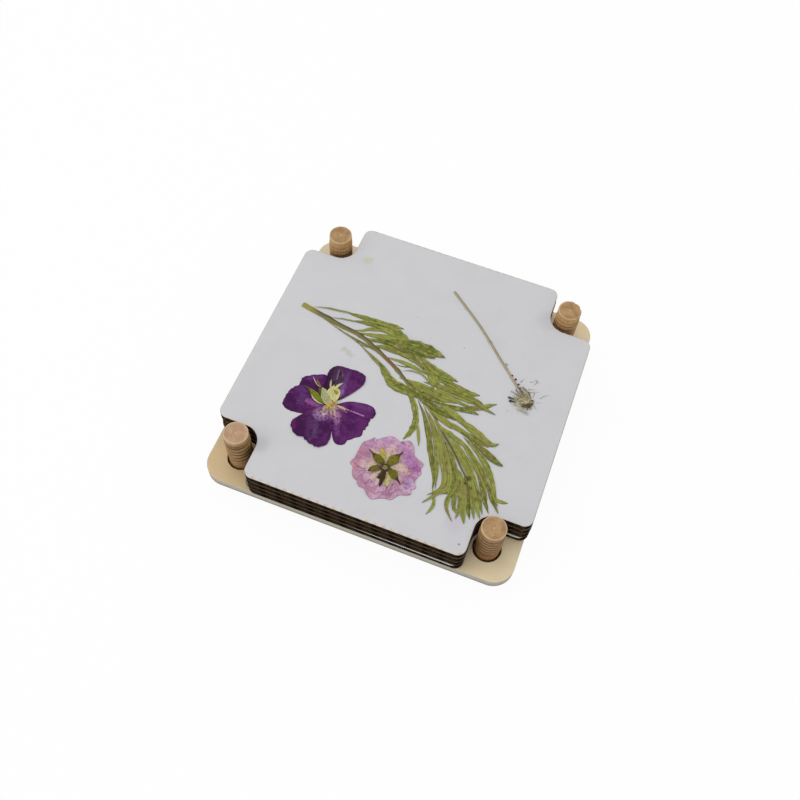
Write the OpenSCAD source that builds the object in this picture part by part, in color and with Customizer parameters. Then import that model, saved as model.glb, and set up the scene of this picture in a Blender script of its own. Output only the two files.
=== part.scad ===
// A plant press opened for use: a plywood base on four wooden bolts, a pile of
// corrugated cards and blotting papers between the bolts, and four dried plants on top.
// Millimetres. Z = 0 is the surface that the bolt heads stand on, and the Z axis runs
// through the middle of the base.

/* [Base board] */
// Width and depth of the square base board
base_w = 180; // [165:1:220]
// Thickness of the base board
base_t = 6.5; // [4:0.5:12]
// Radius of the base board's corners
base_corner_r = 12; // [4:1:16]

/* [Bolts] */
// Distance from the base board's edge to a bolt's axis
bolt_inset = 17.5; // [14:0.5:22]
// Diameter over the crests of the thread
thread_d = 14.2; // [10:0.2:16]
// Depth of the rounded thread
thread_depth = 0.6; // [0.3:0.1:1]
// Rise of the thread in one turn
thread_pitch = 3.5; // [2.5:0.1:5]
// How far the plain shank and the plain end lie in from the thread's crests
shank_relief = 0.3; // [0.1:0.05:0.6]
// Length of the plain shank above the base board
shank_bare = 4; // [1:0.5:8]
// Length of the plain end above the thread
tip_len = 3; // [1:0.5:6]
// Bevel round the plain end
tip_bevel = 0.5; // [0.2:0.1:1]
// Height of the bolts above the base board
bolt_reach = 30; // [26:1:60]
// Diameter of a bolt's head
head_d = 23; // [18:1:28]
// Thickness of a bolt's head
head_t = 8; // [4:0.5:12]
// Bevel round both faces of a head
head_bevel = 1; // [0.2:0.1:1.6]
// Gap all round between the thread and its hole in the base board
hole_gap = 0.65; // [0.3:0.05:2]

/* [Cards] */
// How much wider than the base board the cards and blotting papers are
card_over = 0.5; // [-4:0.5:4]
// Thickness of each of a card's two liners
liner_t = 0.45; // [0.2:0.05:0.8]
// Height of the wave between the liners
flute_h = 4; // [2:0.1:6]
// Length of one wave
flute_pitch = 9.3; // [6:0.1:12]
// Thickness of the waved sheet
wave_t = 0.4; // [0.2:0.05:0.6]
// Radius of the cards' outer corners
card_corner_r = 5; // [2:0.5:8]
// Gap between the thread and the notch in a card's corner
notch_gap = 3; // [1.5:0.1:5]

/* [Blotting papers] */
// Thickness of a blotting paper
blotter_t = 0.4; // [0.2:0.05:1]

/* [Dried plants] */
// Thickness of a pressed leaf or petal
leaf_t = 0.4; // [0.2:0.1:1]
// Thickness of a pressed stem, calyx or flower centre
stalk_t = 0.9; // [0.5:0.1:2]
// Gap between the sprig's tip and the thread beside it, along either edge of the board
sprig_gap = 3.4; // [2:0.2:12]
// Width of the sprig's stem at its foot
stem_w = 2.4; // [1:0.2:4]
// Width of the purple flower
purple_w = 50; // [20:1:52]
// Width of the pink flower
pink_w = 38; // [20:1:44]
// Gap between the two flowers
flower_gap = 4.4; // [1:0.2:10]
// Length of the seed head, from its stalk's foot
seed_len = 75; // [40:1:80]

/* [Hidden] */
$fn = 96;
eps = 0.01;

// Heights
base_z = head_t;
base_top = base_z + base_t;
bolt_top = base_top + bolt_reach;
card_t = liner_t + flute_h + liner_t;
layer_step = card_t + blotter_t;
function card_z(i) = base_top + (i - 1)*layer_step;
function blotter_z(i) = card_z(i) + card_t;
plants_z = card_z(4) + card_t;

// Bolts, in the order left front, right front, right rear, left rear
bolt_at = base_w/2 - bolt_inset;
bolt_sides = [[-1, -1], [1, -1], [1, 1], [-1, 1]];
// Where a bolt's thread starts round its axis, as a share of a turn
bolt_turn_shares = [0.36, 0.62, 0.62, 0.86];
thread_r = thread_d/2;
root_r = thread_r - thread_depth;
shank_r = thread_r - shank_relief;
head_r = head_d/2;
hole_r = thread_r + hole_gap;
thread_z0 = base_top + shank_bare;
thread_z1 = bolt_top - tip_len;
thread_steps = 24;
// Half height of the ridge at the root and at the crest, as shares of the pitch
ridge_root_share = 0.44;
ridge_crest_share = 0.17;
// How deep the ridge is let into the core, as a share of the thread's depth
ridge_bury_share = 0.35;

// Cards
card_w = base_w + card_over;
notch_r = thread_r + notch_gap;
notch_at = bolt_at - notch_r;
wave_steps = 14;
// Offset of each card and blotter from the middle, as shares of the gap that lets it lie off
// centre: the pile leans a little to the left as it rises
card_shift_shares = [[0.27, 0.03], [0.26, 0.01], [0.24, 0], [0.13, 0.02]];
blotter_shift_shares = [[0, 0], [0.26, 0.01], [0.2, 0]];
// Turn of each blotter about the middle, in degrees
blotter_turns = [-0.5, 0.1, 0];

// Flat outlines

// A square with round corners, centred on the origin
module round_square(w, r) {
    square([w - 2*r, w], center = true);
    square([w, w - 2*r], center = true);
    for (sx = [-1, 1], sy = [-1, 1])
        translate([sx*(w/2 - r), sy*(w/2 - r)]) circle(r);
}

// One arm of the cross that the four notches leave, with round corners
module card_arm(w, half) {
    r = card_corner_r;
    square([w - 2*r, 2*half], center = true);
    square([w, 2*(half - r)], center = true);
    for (sx = [-1, 1], sy = [-1, 1])
        translate([sx*(w/2 - r), sy*(half - r)]) circle(r);
}

// The outline of the cards and blotting papers: a square with a notch at each corner,
// rounded to clear the bolt that stands in it
module card_outline() {
    card_arm(card_w, notch_at);
    rotate(90) card_arm(card_w, notch_at);
    for (a = [0:90:270]) rotate(a)
        difference() {
            translate([notch_at - eps, notch_at - eps]) square(notch_r + eps);
            translate([bolt_at, bolt_at]) circle(notch_r);
        }
}

// The closed outline through a ring of points, rounded between them
// (Catmull-Rom: a cubic between each two points, with its slopes from their neighbours)
function ring_at(p, i) = p[(i + len(p)) % len(p)];
function between(a, b, c, d, t) = (2*b + (c - a)*t + (2*a - 5*b + 4*c - d)*t*t
    + (3*b - a - 3*c + d)*t*t*t)/2;
function rounded(p, n) = [for (i = [0:len(p) - 1], k = [0:n - 1])
    between(ring_at(p, i - 1), ring_at(p, i), ring_at(p, i + 1), ring_at(p, i + 2), k/n)];

// The outline of a narrow blade from a to b: its middle bows sideways by the share
// bow of its length, and its half width follows a sine with its widest place at the
// share wide of the length. Like every outline here it runs anticlockwise
function blade(a, b, w, bow = 0, wide = 0.5, n = 7) =
    let (d = b - a, l = norm(d), u = d/l, v = [-u[1], u[0]], e = ln(0.5)/ln(wide),
        mid = [for (k = [0:n]) let (t = k/n) a + d*t + v*(4*bow*l*t*(1 - t))],
        half = [for (k = [0:n]) let (t = k/n) w/2*sin(180*pow(t, e))])
    concat([for (k = [0:n]) mid[k] - v*half[k]],
        [for (k = [n - 1:-1:1]) mid[k] + v*half[k]]);

// Base board

module base_board() color("burlywood")
    difference() {
        translate([0, 0, base_z]) linear_extrude(base_t) round_square(base_w, base_corner_r);
        for (s = bolt_sides)
            translate([s[0]*bolt_at, s[1]*bolt_at, base_z - eps]) cylinder(r = hole_r, h = base_t + 2*eps);
    }

// Bolts

// Corners of the ridge's section at step k: the ridge fades in and out over half a turn
function ridge_section(k, steps) =
    let (turn = 360*k/thread_steps, z = thread_z0 + thread_pitch/2 + thread_pitch*k/thread_steps,
        fade = min(1, 2*k/thread_steps, 2*(steps - k)/thread_steps),
        inner = root_r - thread_depth*ridge_bury_share,
        outer = inner + (thread_r - inner)*max(fade, ridge_bury_share/2),
        foot = thread_pitch*ridge_root_share, crest = thread_pitch*ridge_crest_share,
        ring = function (r, dz) [r*cos(turn), r*sin(turn), z + dz])
    [ring(inner, -foot), ring(outer, -crest), ring(outer, crest), ring(inner, foot)];

// The helical ridge, as one closed tube of four-cornered sections
module thread_ridge() {
    steps = floor((thread_z1 - thread_z0 - thread_pitch)/thread_pitch*thread_steps);
    points = [for (k = [0:steps]) each ridge_section(k, steps)];
    sides = [for (k = [0:steps - 1], j = [0:3]) let (m = (j + 1) % 4)
        each [[4*k + j, 4*k + m, 4*k + 4 + m], [4*k + j, 4*k + 4 + m, 4*k + 4 + j]]];
    ends = [[0, 2, 1], [0, 3, 2],
        [4*steps, 4*steps + 1, 4*steps + 2], [4*steps, 4*steps + 2, 4*steps + 3]];
    polyhedron(points, concat(sides, ends));
}

module bolt(i) color("peru")
    translate([bolt_sides[i][0]*bolt_at, bolt_sides[i][1]*bolt_at, 0]) {
        rotate_extrude() polygon([
            [0, 0], [head_r - head_bevel, 0], [head_r, head_bevel],
            [head_r, head_t - head_bevel], [head_r - head_bevel, head_t],
            [shank_r, head_t], [shank_r, thread_z0], [root_r, thread_z0],
            [root_r, thread_z1], [shank_r, thread_z1],
            [shank_r, bolt_top - tip_bevel], [shank_r - tip_bevel, bolt_top], [0, bolt_top]]);
        rotate(360*bolt_turn_shares[i]) thread_ridge();
    }

// Corrugated cards

module at_card(i) {
    s = card_shift_shares[i - 1]*notch_gap;
    translate([s[0], s[1], card_z(i)]) children();
}

module card_liner(i, z, shade) color(shade)
    at_card(i) translate([0, 0, z]) linear_extrude(liner_t) card_outline();

module lower_liner(i) card_liner(i, 0, "peru");
module upper_liner(i) card_liner(i, liner_t + flute_h, "gainsboro");

// Middle line of the wave, its slope, and the sheet's two faces along it
wave_rise = (flute_h - wave_t)/2;
wave_count = ceil(card_w/flute_pitch/2) + 1;
function wave_face(side) = [for (k = [-wave_count*wave_steps:wave_count*wave_steps])
    let (turn = 360*k/wave_steps, x = flute_pitch*k/wave_steps,
        slope = -wave_rise*sin(turn)*2*PI/flute_pitch, n = [-slope, 1]/norm([-slope, 1]))
    [x, wave_rise*cos(turn)] + side*wave_t/2*n];
function backwards(p) = [for (k = [len(p) - 1:-1:0]) p[k]];

module fluting(i) color("saddlebrown")
    at_card(i) translate([0, 0, liner_t])
        intersection() {
            linear_extrude(flute_h) card_outline();
            translate([0, card_w/2 + eps, flute_h/2]) rotate([90, 0, 0])
                linear_extrude(card_w + 2*eps) polygon(concat(wave_face(1), backwards(wave_face(-1))));
        }

module blotter(i) color("white") {
    s = blotter_shift_shares[i - 1]*notch_gap;
    translate([s[0], s[1], blotter_z(i)]) rotate(blotter_turns[i - 1])
        linear_extrude(blotter_t) card_outline();
}

// Dried plants. They are laid out over the square between the bolts' threads, and their
// places are shares of its width, from the middle of the base

plants_w = 2*(bolt_at - thread_r - sprig_gap);

module on_card(place, z = 0) translate([place[0], place[1], plants_z + z]) children();

// The outline of a stem through points, w wide at its foot and narrowing to the share
// taper of that at its tip
module stem_outline(p, w, taper = 1) {
    n = len(p) - 1;
    half = [for (k = [0:n]) w/2*(1 + (taper - 1)*k/n)];
    side = [for (k = [0:n]) let (d = p[min(k + 1, n)] - p[max(k - 1, 0)]) [-d[1], d[0]]/norm(d)];
    polygon(concat([for (k = [0:n]) p[k] - side[k]*half[k]],
        [for (k = [n:-1:0]) p[k] + side[k]*half[k]]));
}

// Leafy sprig

sprig_stem_shares = [[-0.613, 0.182], [-0.484, 0.152], [-0.363, 0.129], [-0.242, 0.102],
    [-0.16, 0.06], [-0.08, 0.015], [0, -0.032], [0.08, -0.09], [0.16, -0.15], [0.242, -0.223],
    [0.323, -0.298], [0.403, -0.379], [0.452, -0.44], [0.5, -0.508]];
stem_taper_share = 0.25;
// Blades: foot, tip, width, bow and widest place
sprig_blade_shares = [
    [[-0.565, 0.181], [-0.355, 0.221], 0.013, 0.04, 0.6],
    [[-0.403, 0.215], [-0.117, 0.234], 0.037, -0.01, 0.55],
    [[-0.468, 0.156], [-0.306, 0.19], 0.011, 0.02, 0.6],
    [[-0.355, 0.179], [-0.077, 0.177], 0.042, 0.07, 0.55],
    [[-0.323, 0.134], [-0.137, 0.194], 0.034, 0.05, 0.5],
    [[-0.29, 0.119], [-0.048, 0.161], 0.044, 0.03, 0.5],
    [[-0.194, 0.181], [0.115, 0.155], 0.042, 0.03, 0.6],
    [[-0.25, 0.108], [0.077, 0.135], 0.053, -0.01, 0.5],
    [[-0.194, 0.084], [0.048, 0.093], 0.04, 0.05, 0.5],
    [[-0.113, 0.105], [0.214, 0.058], 0.044, -0.03, 0.55],
    [[-0.137, 0.052], [0.097, 0.048], 0.019, 0.04, 0.6],
    [[0.016, 0.06], [0.328, 0.027], 0.035, -0.02, 0.6],
    [[-0.065, 0.013], [0.145, -0.016], 0.024, 0.2, 0.45],
    [[0.065, 0.032], [0.427, -0.042], 0.037, 0.06, 0.5],
    [[0.016, -0.037], [0.274, 0], 0.04, -0.04, 0.5],
    [[0.032, -0.048], [0.414, 0.01], 0.044, -0.12, 0.55],
    [[0.065, -0.065], [0.357, -0.07], 0.045, 0.02, 0.5],
    [[0.113, -0.09], [0.484, -0.173], 0.04, 0.03, 0.6],
    [[0.129, -0.116], [0.445, -0.203], 0.04, -0.01, 0.5],
    [[0.161, -0.14], [0.532, -0.269], 0.044, 0.02, 0.6],
    [[0.194, -0.169], [0.539, -0.403], 0.053, 0.12, 0.55],
    [[0.484, -0.306], [0.606, -0.426], 0.027, -0.09, 0.5],
    [[0.242, -0.218], [0.581, -0.487], 0.048, 0.08, 0.6],
    [[0.274, -0.25], [0.544, -0.502], 0.048, 0.05, 0.6],
    [[0.298, -0.27], [0.515, -0.539], 0.048, 0.02, 0.6],
    [[0.274, -0.25], [0.476, -0.556], 0.048, 0, 0.6],
    [[0.242, -0.226], [0.46, -0.586], 0.056, -0.03, 0.6],
    [[0.226, -0.21], [0.418, -0.573], 0.056, -0.03, 0.5],
    [[0.194, -0.18], [0.387, -0.512], 0.056, -0.04, 0.5],
    [[0.161, -0.15], [0.331, -0.484], 0.056, -0.05, 0.5],
    [[0.113, -0.116], [0.286, -0.5], 0.048, -0.08, 0.6],
    [[0.347, -0.452], [0.411, -0.594], 0.016, -0.12, 0.5],
    [[0.355, -0.468], [0.419, -0.55], 0.015, -0.12, 0.5],
    [[0.282, -0.419], [0.31, -0.516], 0.032, 0.02, 0.5],
    [[0.339, -0.444], [0.269, -0.523], 0.018, -0.05, 0.5],
    [[0.306, -0.484], [0.26, -0.565], 0.015, 0.03, 0.5],
    [[0.302, -0.476], [0.295, -0.606], 0.015, 0.13, 0.6],
    [[0.024, -0.069], [0.083, -0.317], 0.032, 0.12, 0.6],
    [[0.065, -0.101], [0.159, -0.319], 0.016, 0.02, 0.6],
    [[-0.29, 0.097], [-0.097, -0.052], 0.023, -0.03, 0.65],
    [[-0.153, 0.004], [0.065, -0.085], 0.044, -0.12, 0.5],
    [[-0.532, 0.15], [-0.161, 0.045], 0.027, -0.05, 0.6]
];

module sprig_stem() color("olive")
    on_card([0, 0]) linear_extrude(stalk_t)
        stem_outline(sprig_stem_shares*plants_w, stem_w, stem_taper_share);

// The leaves lie on either side of the stem, and end where the pink flower lies
module sprig_leaves() color("olivedrab")
    difference() {
        on_card([0, 0]) linear_extrude(leaf_t)
            for (b = sprig_blade_shares)
                polygon(blade(b[0]*plants_w, b[1]*plants_w, b[2]*plants_w, b[3], b[4]));
        on_card([0, 0], -eps) linear_extrude(leaf_t + 2*eps) {
            stem_outline(sprig_stem_shares*plants_w, stem_w, stem_taper_share);
            translate(pink_at) circle(pink_reach_share*pink_w);
        }
    }

// Pink flower, seen from behind. Places are shares of its width, from its own centre

pink_at = [0.065, -0.464]*plants_w;
// The petals' ruffled rim
pink_rim_shares = [[-0.46, 0.14], [-0.47, 0], [-0.51, -0.12], [-0.43, -0.2], [-0.38, -0.33],
    [-0.26, -0.42], [-0.21, -0.41], [-0.13, -0.48], [-0.03, -0.53], [0.08, -0.48],
    [0.24, -0.43], [0.32, -0.33], [0.45, -0.26], [0.5, -0.14], [0.45, -0.03], [0.5, 0.07],
    [0.46, 0.17], [0.47, 0.24], [0.31, 0.33], [0.26, 0.43], [0.17, 0.51], [0.05, 0.46],
    [-0.08, 0.49], [-0.21, 0.41], [-0.33, 0.38], [-0.46, 0.26]];
pink_reach_share = 0.55;
// Sepals: foot, tip and width
pink_sepal_shares = [[[0.02, 0.02], [0.14, 0.32], 0.12], [[-0.04, 0.02], [-0.33, 0.16], 0.12],
    [[-0.04, -0.03], [-0.21, -0.15], 0.1], [[0.01, -0.05], [0.02, -0.32], 0.06],
    [[0.04, -0.02], [0.28, -0.18], 0.11], [[-0.03, -0.05], [-0.05, -0.21], 0.05]];
pink_calyx_r_share = 0.07;

module pink_flower_petals() color("orchid")
    on_card(pink_at) linear_extrude(leaf_t) polygon(rounded(pink_rim_shares*pink_w, 3));

module pink_flower_calyx() color("darkolivegreen")
    on_card(pink_at, leaf_t) linear_extrude(leaf_t) {
        for (b = pink_sepal_shares) polygon(blade(b[0]*pink_w, b[1]*pink_w, b[2]*pink_w));
        circle(pink_calyx_r_share*pink_w);
    }

// Purple flower, beside the pink one. Places are shares of its width, from its own centre

purple_direction = 149.8;
purple_at = pink_at + (pink_w/2 + flower_gap + purple_w/2)*[cos(purple_direction), sin(purple_direction)];
purple_petal_shares = [
    [[0.03, 0.07], [0.12, 0.17], [0.2, 0.3], [0.23, 0.39], [0.21, 0.47], [0.14, 0.5],
        [-0.02, 0.5], [-0.14, 0.48], [-0.19, 0.42], [-0.2, 0.34], [-0.16, 0.22], [-0.08, 0.08]],
    [[-0.06, 0.07], [-0.18, 0.31], [-0.31, 0.29], [-0.43, 0.21], [-0.44, 0.14], [-0.42, 0.06],
        [-0.24, 0], [-0.05, 0]],
    [[-0.05, 0.04], [-0.32, 0.1], [-0.44, 0.09], [-0.5, 0.02], [-0.52, -0.06], [-0.52, -0.18],
        [-0.46, -0.23], [-0.38, -0.24], [-0.26, -0.22], [-0.16, -0.16], [-0.03, -0.03]],
    [[-0.05, -0.03], [-0.18, -0.14], [-0.28, -0.26], [-0.33, -0.35], [-0.31, -0.42],
        [-0.23, -0.49], [-0.14, -0.49], [-0.08, -0.52], [0, -0.54], [0.06, -0.54],
        [0.13, -0.48], [0.14, -0.38], [0.1, -0.24], [0.03, -0.05]],
    [[0.02, -0.03], [0.08, -0.2], [0.13, -0.32], [0.19, -0.41], [0.25, -0.43], [0.31, -0.4],
        [0.33, -0.34], [0.44, -0.24], [0.44, -0.18], [0.46, -0.1],
        [0.44, 0], [0.24, 0.02], [0.06, 0.02]],
    [[0.04, 0], [0.18, -0.04], [0.36, -0.04], [0.47, 0], [0.49, 0.07],
        [0.45, 0.13], [0.38, 0.15], [0.28, 0.14], [0.17, 0.11], [0.08, 0.05]]
];
purple_heart_r_share = 0.08;
// Sepals: foot, tip and width
purple_sepal_shares = [[[-0.02, 0.01], [-0.19, 0.15], 0.13], [[0.01, 0.02], [-0.1, 0.23], 0.13],
    [[-0.03, -0.01], [-0.36, 0.11], 0.07], [[0.03, 0.03], [0.01, 0.28], 0.07]];
purple_eye_r_share = 0.06;

module purple_flower_petals() color("indigo")
    on_card(purple_at) linear_extrude(leaf_t) {
        for (p = purple_petal_shares) polygon(rounded(p*purple_w, 3));
        circle(purple_heart_r_share*purple_w);
    }

module purple_flower_centre() color("khaki")
    on_card(purple_at, leaf_t) linear_extrude(leaf_t) {
        for (b = purple_sepal_shares) polygon(blade(b[0]*purple_w, b[1]*purple_w, b[2]*purple_w));
        circle(purple_eye_r_share*purple_w);
    }

// Seed head. Places are shares of its length, from the stalk's foot

seed_stalk_shares = [[0, 0], [0.36, -0.3], [0.6, -0.52], [0.74, -0.665], [0.832, -0.747]];
seed_stalk_w_share = 0.014;
seed_heart_share = [0.86, -0.77];
// The heart's place is a share of the plants' square, and the stalk's foot follows it
seed_heart_place_share = [0.548, 0.062];
seed_at = seed_heart_place_share*plants_w - seed_heart_share*seed_len;
seed_heart_r_share = 0.03;
bristle_w_share = 0.016;
// Bristles: direction in degrees and reach. Their feet lie inside the heart
seed_bristle_shares = [[10, 0.1], [35, 0.09], [62, 0.13], [85, 0.12], [112, 0.09], [160, 0.1],
    [178, 0.15], [196, 0.14], [214, 0.12], [238, 0.09], [262, 0.1], [285, 0.09], [310, 0.1], [340, 0.1]];
bristle_foot_share = 0.3;

module seed_head_stalk() color("tan")
    on_card(seed_at) linear_extrude(stalk_t)
        stem_outline(seed_stalk_shares*seed_len, seed_stalk_w_share*seed_len);

module seed_head_bristles() color("darkkhaki")
    on_card(seed_at) linear_extrude(leaf_t) translate(seed_heart_share*seed_len) {
        heart_r = seed_heart_r_share*seed_len;
        circle(heart_r);
        for (b = seed_bristle_shares) let (u = [cos(b[0]), sin(b[0])])
            polygon(blade(bristle_foot_share*heart_r*u, b[1]*seed_len*u, bristle_w_share*seed_len));
    }

base_board();
bolt(0);  // bolt_left_front
bolt(1);  // bolt_right_front
bolt(2);  // bolt_right_rear
bolt(3);  // bolt_left_rear
lower_liner(1);  // card_1_lower_liner
fluting(1);  // card_1_fluting
upper_liner(1);  // card_1_upper_liner
blotter(1);  // blotter_1
lower_liner(2);  // card_2_lower_liner
fluting(2);  // card_2_fluting
upper_liner(2);  // card_2_upper_liner
blotter(2);  // blotter_2
lower_liner(3);  // card_3_lower_liner
fluting(3);  // card_3_fluting
upper_liner(3);  // card_3_upper_liner
blotter(3);  // blotter_3
lower_liner(4);  // card_4_lower_liner
fluting(4);  // card_4_fluting
upper_liner(4);  // card_4_upper_liner
sprig_stem();
sprig_leaves();
purple_flower_petals();
purple_flower_centre();
pink_flower_petals();
pink_flower_calyx();
seed_head_stalk();
seed_head_bristles();
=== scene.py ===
"""A flower press opened for use, dressed round its packed frame.

The base board, the bolts, the cards, the blotting papers and the pressed plants are surfaces
worked out with numpy, in metres and in the frame's own coordinates. Z = 0 is the surface that
the press stands on, and the Z axis runs through the middle of the base board.
"""

import bpy
import numpy as np
from bpy.props import FloatProperty, FloatVectorProperty, PointerProperty
from bpy.types import Operator, Panel, PropertyGroup
from mathutils import Matrix, Vector
from mathutils.geometry import tessellate_polygon


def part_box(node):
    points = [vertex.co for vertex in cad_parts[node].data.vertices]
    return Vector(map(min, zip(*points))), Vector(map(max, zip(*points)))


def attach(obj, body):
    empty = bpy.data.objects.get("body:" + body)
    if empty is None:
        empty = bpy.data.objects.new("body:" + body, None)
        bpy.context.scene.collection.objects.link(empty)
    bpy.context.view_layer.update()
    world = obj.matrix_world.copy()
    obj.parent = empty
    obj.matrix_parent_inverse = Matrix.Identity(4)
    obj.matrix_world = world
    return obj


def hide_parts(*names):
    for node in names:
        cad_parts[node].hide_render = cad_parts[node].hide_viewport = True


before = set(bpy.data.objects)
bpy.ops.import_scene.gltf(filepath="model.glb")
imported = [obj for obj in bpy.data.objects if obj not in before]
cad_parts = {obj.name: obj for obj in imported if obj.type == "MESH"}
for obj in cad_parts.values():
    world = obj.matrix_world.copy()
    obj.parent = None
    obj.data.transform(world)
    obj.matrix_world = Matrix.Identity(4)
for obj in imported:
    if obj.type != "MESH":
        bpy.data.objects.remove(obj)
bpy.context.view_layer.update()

bl_info = {
    "name": "Flower press",
    "version": (1, 0, 0),
    "blender": (4, 5, 0),
    "location": "3D View > Sidebar > Press",
    "description": "Base board, bolts, cards, blotting papers and pressed plants of a flower press",
    "category": "Add Mesh",
}

MM = 0.001
FULL_TURN = 2*np.pi
WHITE = (1, 1, 1)


def full_turn(count):
    """That many even angles round a full turn."""
    return np.linspace(0, FULL_TURN, count, endpoint=False)


def middle(node):
    """The middle of a CAD node's box."""
    low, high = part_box(node)
    return (np.array(low) + np.array(high))/2


BOLTS = ("bolt_left_front", "bolt_right_front", "bolt_right_rear", "bolt_left_rear")
BOARD_LOW, BOARD_HIGH = (np.array(corner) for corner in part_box("base_board"))
CARD_HALF = (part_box("card_4_upper_liner")[1][0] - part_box("card_4_upper_liner")[0][0])/2
BOLT_AT = middle(BOLTS[2])[0]
PLANTS_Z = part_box("sprig_leaves")[0][2]


# Properties

def linear(rgb):
    """Screen values from 0 to 255 as linear light, by the sRGB curve."""
    c = np.array(rgb)/255
    return tuple(np.where(c <= 0.04045, c/12.92, ((c + 0.055)/1.055)**2.4))


def dim(rgb, kept):
    """A colour times a number."""
    return [c*kept for c in rgb]


def length(name, about, millimetres):
    """A length that a user may change."""
    return FloatProperty(name=name, description=about, default=millimetres*MM, unit="LENGTH")


def share(name, about, default):
    """A number without a unit that a user may change."""
    return FloatProperty(name=name, description=about, default=default)


def colour(name, about, *rgb):
    """A colour that a user may change, given in screen values from 0 to 255."""
    return FloatVectorProperty(name=name, description=about, default=linear(rgb), size=3,
                               min=0, max=1, subtype="COLOR")


class PRESS_PG_stage(PropertyGroup):
    """Camera, lamps and floor."""
    lens: FloatProperty(name="Lens", description="Focal length on a 36 mm sensor", default=40.505,
                        unit="CAMERA")
    azimuth: share("Azimuth", "Direction of the camera, in degrees from the front to the right", 16.3401)
    elevation: share("Elevation", "Height of the camera above the horizon, in degrees", 60.9515)
    roll: share("Roll", "Turn of the camera about its own axis, in degrees", 5.0661)
    target_x: length("Target X", "Point of the board's top face in the middle of the picture", -3.211)
    target_y: length("Target Y", "Point of the board's top face in the middle of the picture", -4.982)
    distance: length("Distance", "From the target to the camera", 526.6)
    sky: share("Sky", "Strength of the light from all round", 0.62)
    lamp_power: share("Lamp", "Power of the soft lamp overhead, in watts", 5.2)
    side_power: share("Side lamp", "Power of the low side lamp, in watts", 1.2)
    floor: colour("Floor", "The floor round the press", 246, 246, 246)
    floor_glow: share("Floor glow", "Share of the floor's white that no shadow darkens", 0.95)


class PRESS_PG_board(PropertyGroup):
    """Base board."""
    edge: length("Edge", "Rounding of the board's edges", 0.25)
    corner: length("Corner", "Radius of the board's corners", 12)
    hole: length("Hole", "Radius of the holes for the bolts", 7.75)
    face: colour("Face", "Face veneer", 230, 213, 178)
    grain: colour("Grain", "Darker grain of the face veneer", 212, 190, 150)
    # Painted light: the edge's upper part is mixed towards the light ply as if lit from above, its lower
    # part towards the dark ply
    edge_light: colour("Light ply", "Plies that show their sides on the edge", 200, 195, 180)
    edge_dark: colour("Dark ply", "Plies that show their ends on the edge", 158, 150, 140)


class PRESS_PG_bolts(PropertyGroup):
    """Bolts."""
    head_bevel: length("Head bevel", "Bevel round a head", 1)
    head_height: length("Head height", "Thickness of a head, up to the board's lower face", 8)
    shank: length("Shank", "Radius of the plain shank and the plain end", 6.8)
    crest: length("Crest", "Radius over the thread's crests", 7.1)
    root: length("Root", "Radius in the thread's grooves", 6.5)
    pitch: length("Pitch", "Rise of the thread in one turn", 3.5)
    bare: length("Bare shank", "Plain shank above the board", 4)
    tip: length("Tip", "Plain end above the thread", 3)
    tip_bevel: length("Tip bevel", "Bevel round the plain end", 0.5)
    wood: colour("Wood", "Beech", 196, 158, 108)
    fibre: colour("Fibre", "Darker fibres of the wood", 170, 129, 82)
    # Painted shade: the groove colour darkens the thread's grooves as the shade in them, and also tints the
    # wood's dark flecks
    groove: colour("Groove", "Wood in the thread's grooves", 84, 54, 28)
    end: colour("End", "Sawn ends", 191, 156, 113)
    end_dark: colour("Dark end", "Darker rings of the sawn ends", 168, 129, 88)


class PRESS_PG_cards(PropertyGroup):
    """Cards and blotting papers."""
    edge: length("Edge", "Rounding of the edges of the liners and papers", 0.1)
    corner: length("Corner", "Radius of the outer corners", 5)
    notch: length("Notch", "Radius of the notch round a bolt's axis", 10.1)
    wave: length("Wave", "Length of one wave of the fluting", 9.3)
    sag: length("Sag", "How far a liner's cut edge sinks between two waves", 0.12)
    face: colour("White face", "The white faces of cards", 207, 207, 210)
    kraft: colour("Kraft", "Brown liners and fluting", 92, 72, 50)
    char: colour("Char", "Charred edge left by the laser", 30, 20, 12)
    toast: colour("Toast", "Paper browned next to the charred edge", 184, 160, 132)
    blotter: colour("Blotter", "Blotting paper", 226, 226, 226)


class PRESS_PG_sprig(PropertyGroup):
    """Leafy sprig."""
    span: length("Span", "Width of the square between the bolts that the plants lie on", 124)
    stem_width: length("Stem width", "Width of the stem at its foot", 3.1)
    stem_height: length("Stem height", "Thickness of the pressed stem", 0.9)
    leaf: length("Leaf", "Thickness of a pressed leaf", 0.16)
    green: colour("Green", "Leaf green", 147, 151, 74)
    dark: colour("Dark green", "Midribs and shaded leaves", 92, 97, 42)
    pale: colour("Pale green", "Leaf margins", 176, 176, 104)
    brown: colour("Brown", "Browned parts of the leaves", 134, 116, 74)
    stem: colour("Stem", "Stem", 122, 116, 62)
    foot: colour("Foot", "Cut foot of the stem", 150, 138, 64)


class PRESS_PG_purple(PropertyGroup):
    """Purple flower."""
    width: length("Width", "Width of the flower", 50)
    petal: length("Petal", "Thickness of a petal", 0.14)
    ruffle: length("Ruffle", "Height of the folds at a petal's rim", 0.3)
    body: colour("Petal", "Petals", 95, 41, 99)
    dark: colour("Rim", "Rims and folds of the petals", 66, 24, 72)
    light: colour("Sheen", "Lighter streaks of the petals", 119, 73, 134)
    grey: colour("Stigma", "The greyish tip among the anthers", 172, 172, 128)
    yellow: colour("Anther", "Anthers", 216, 182, 74)


class PRESS_PG_pink(PropertyGroup):
    """Pink flower."""
    width: length("Width", "Width of the flower", 38)
    petal: length("Petal", "Thickness of a petal", 0.14)
    ruffle: length("Ruffle", "Height of the folds at a petal's rim", 0.6)
    body: colour("Petal", "Petals", 186, 142, 160)
    deep: colour("Blush", "Deeper blotches and creases", 150, 92, 138)
    pale: colour("Pale petal", "Paler parts of the petals", 208, 172, 196)
    glow: colour("Throat", "Cream round the calyx", 222, 200, 160)
    brown: colour("Brown", "Brown tips and ring", 56, 36, 24)


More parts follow.
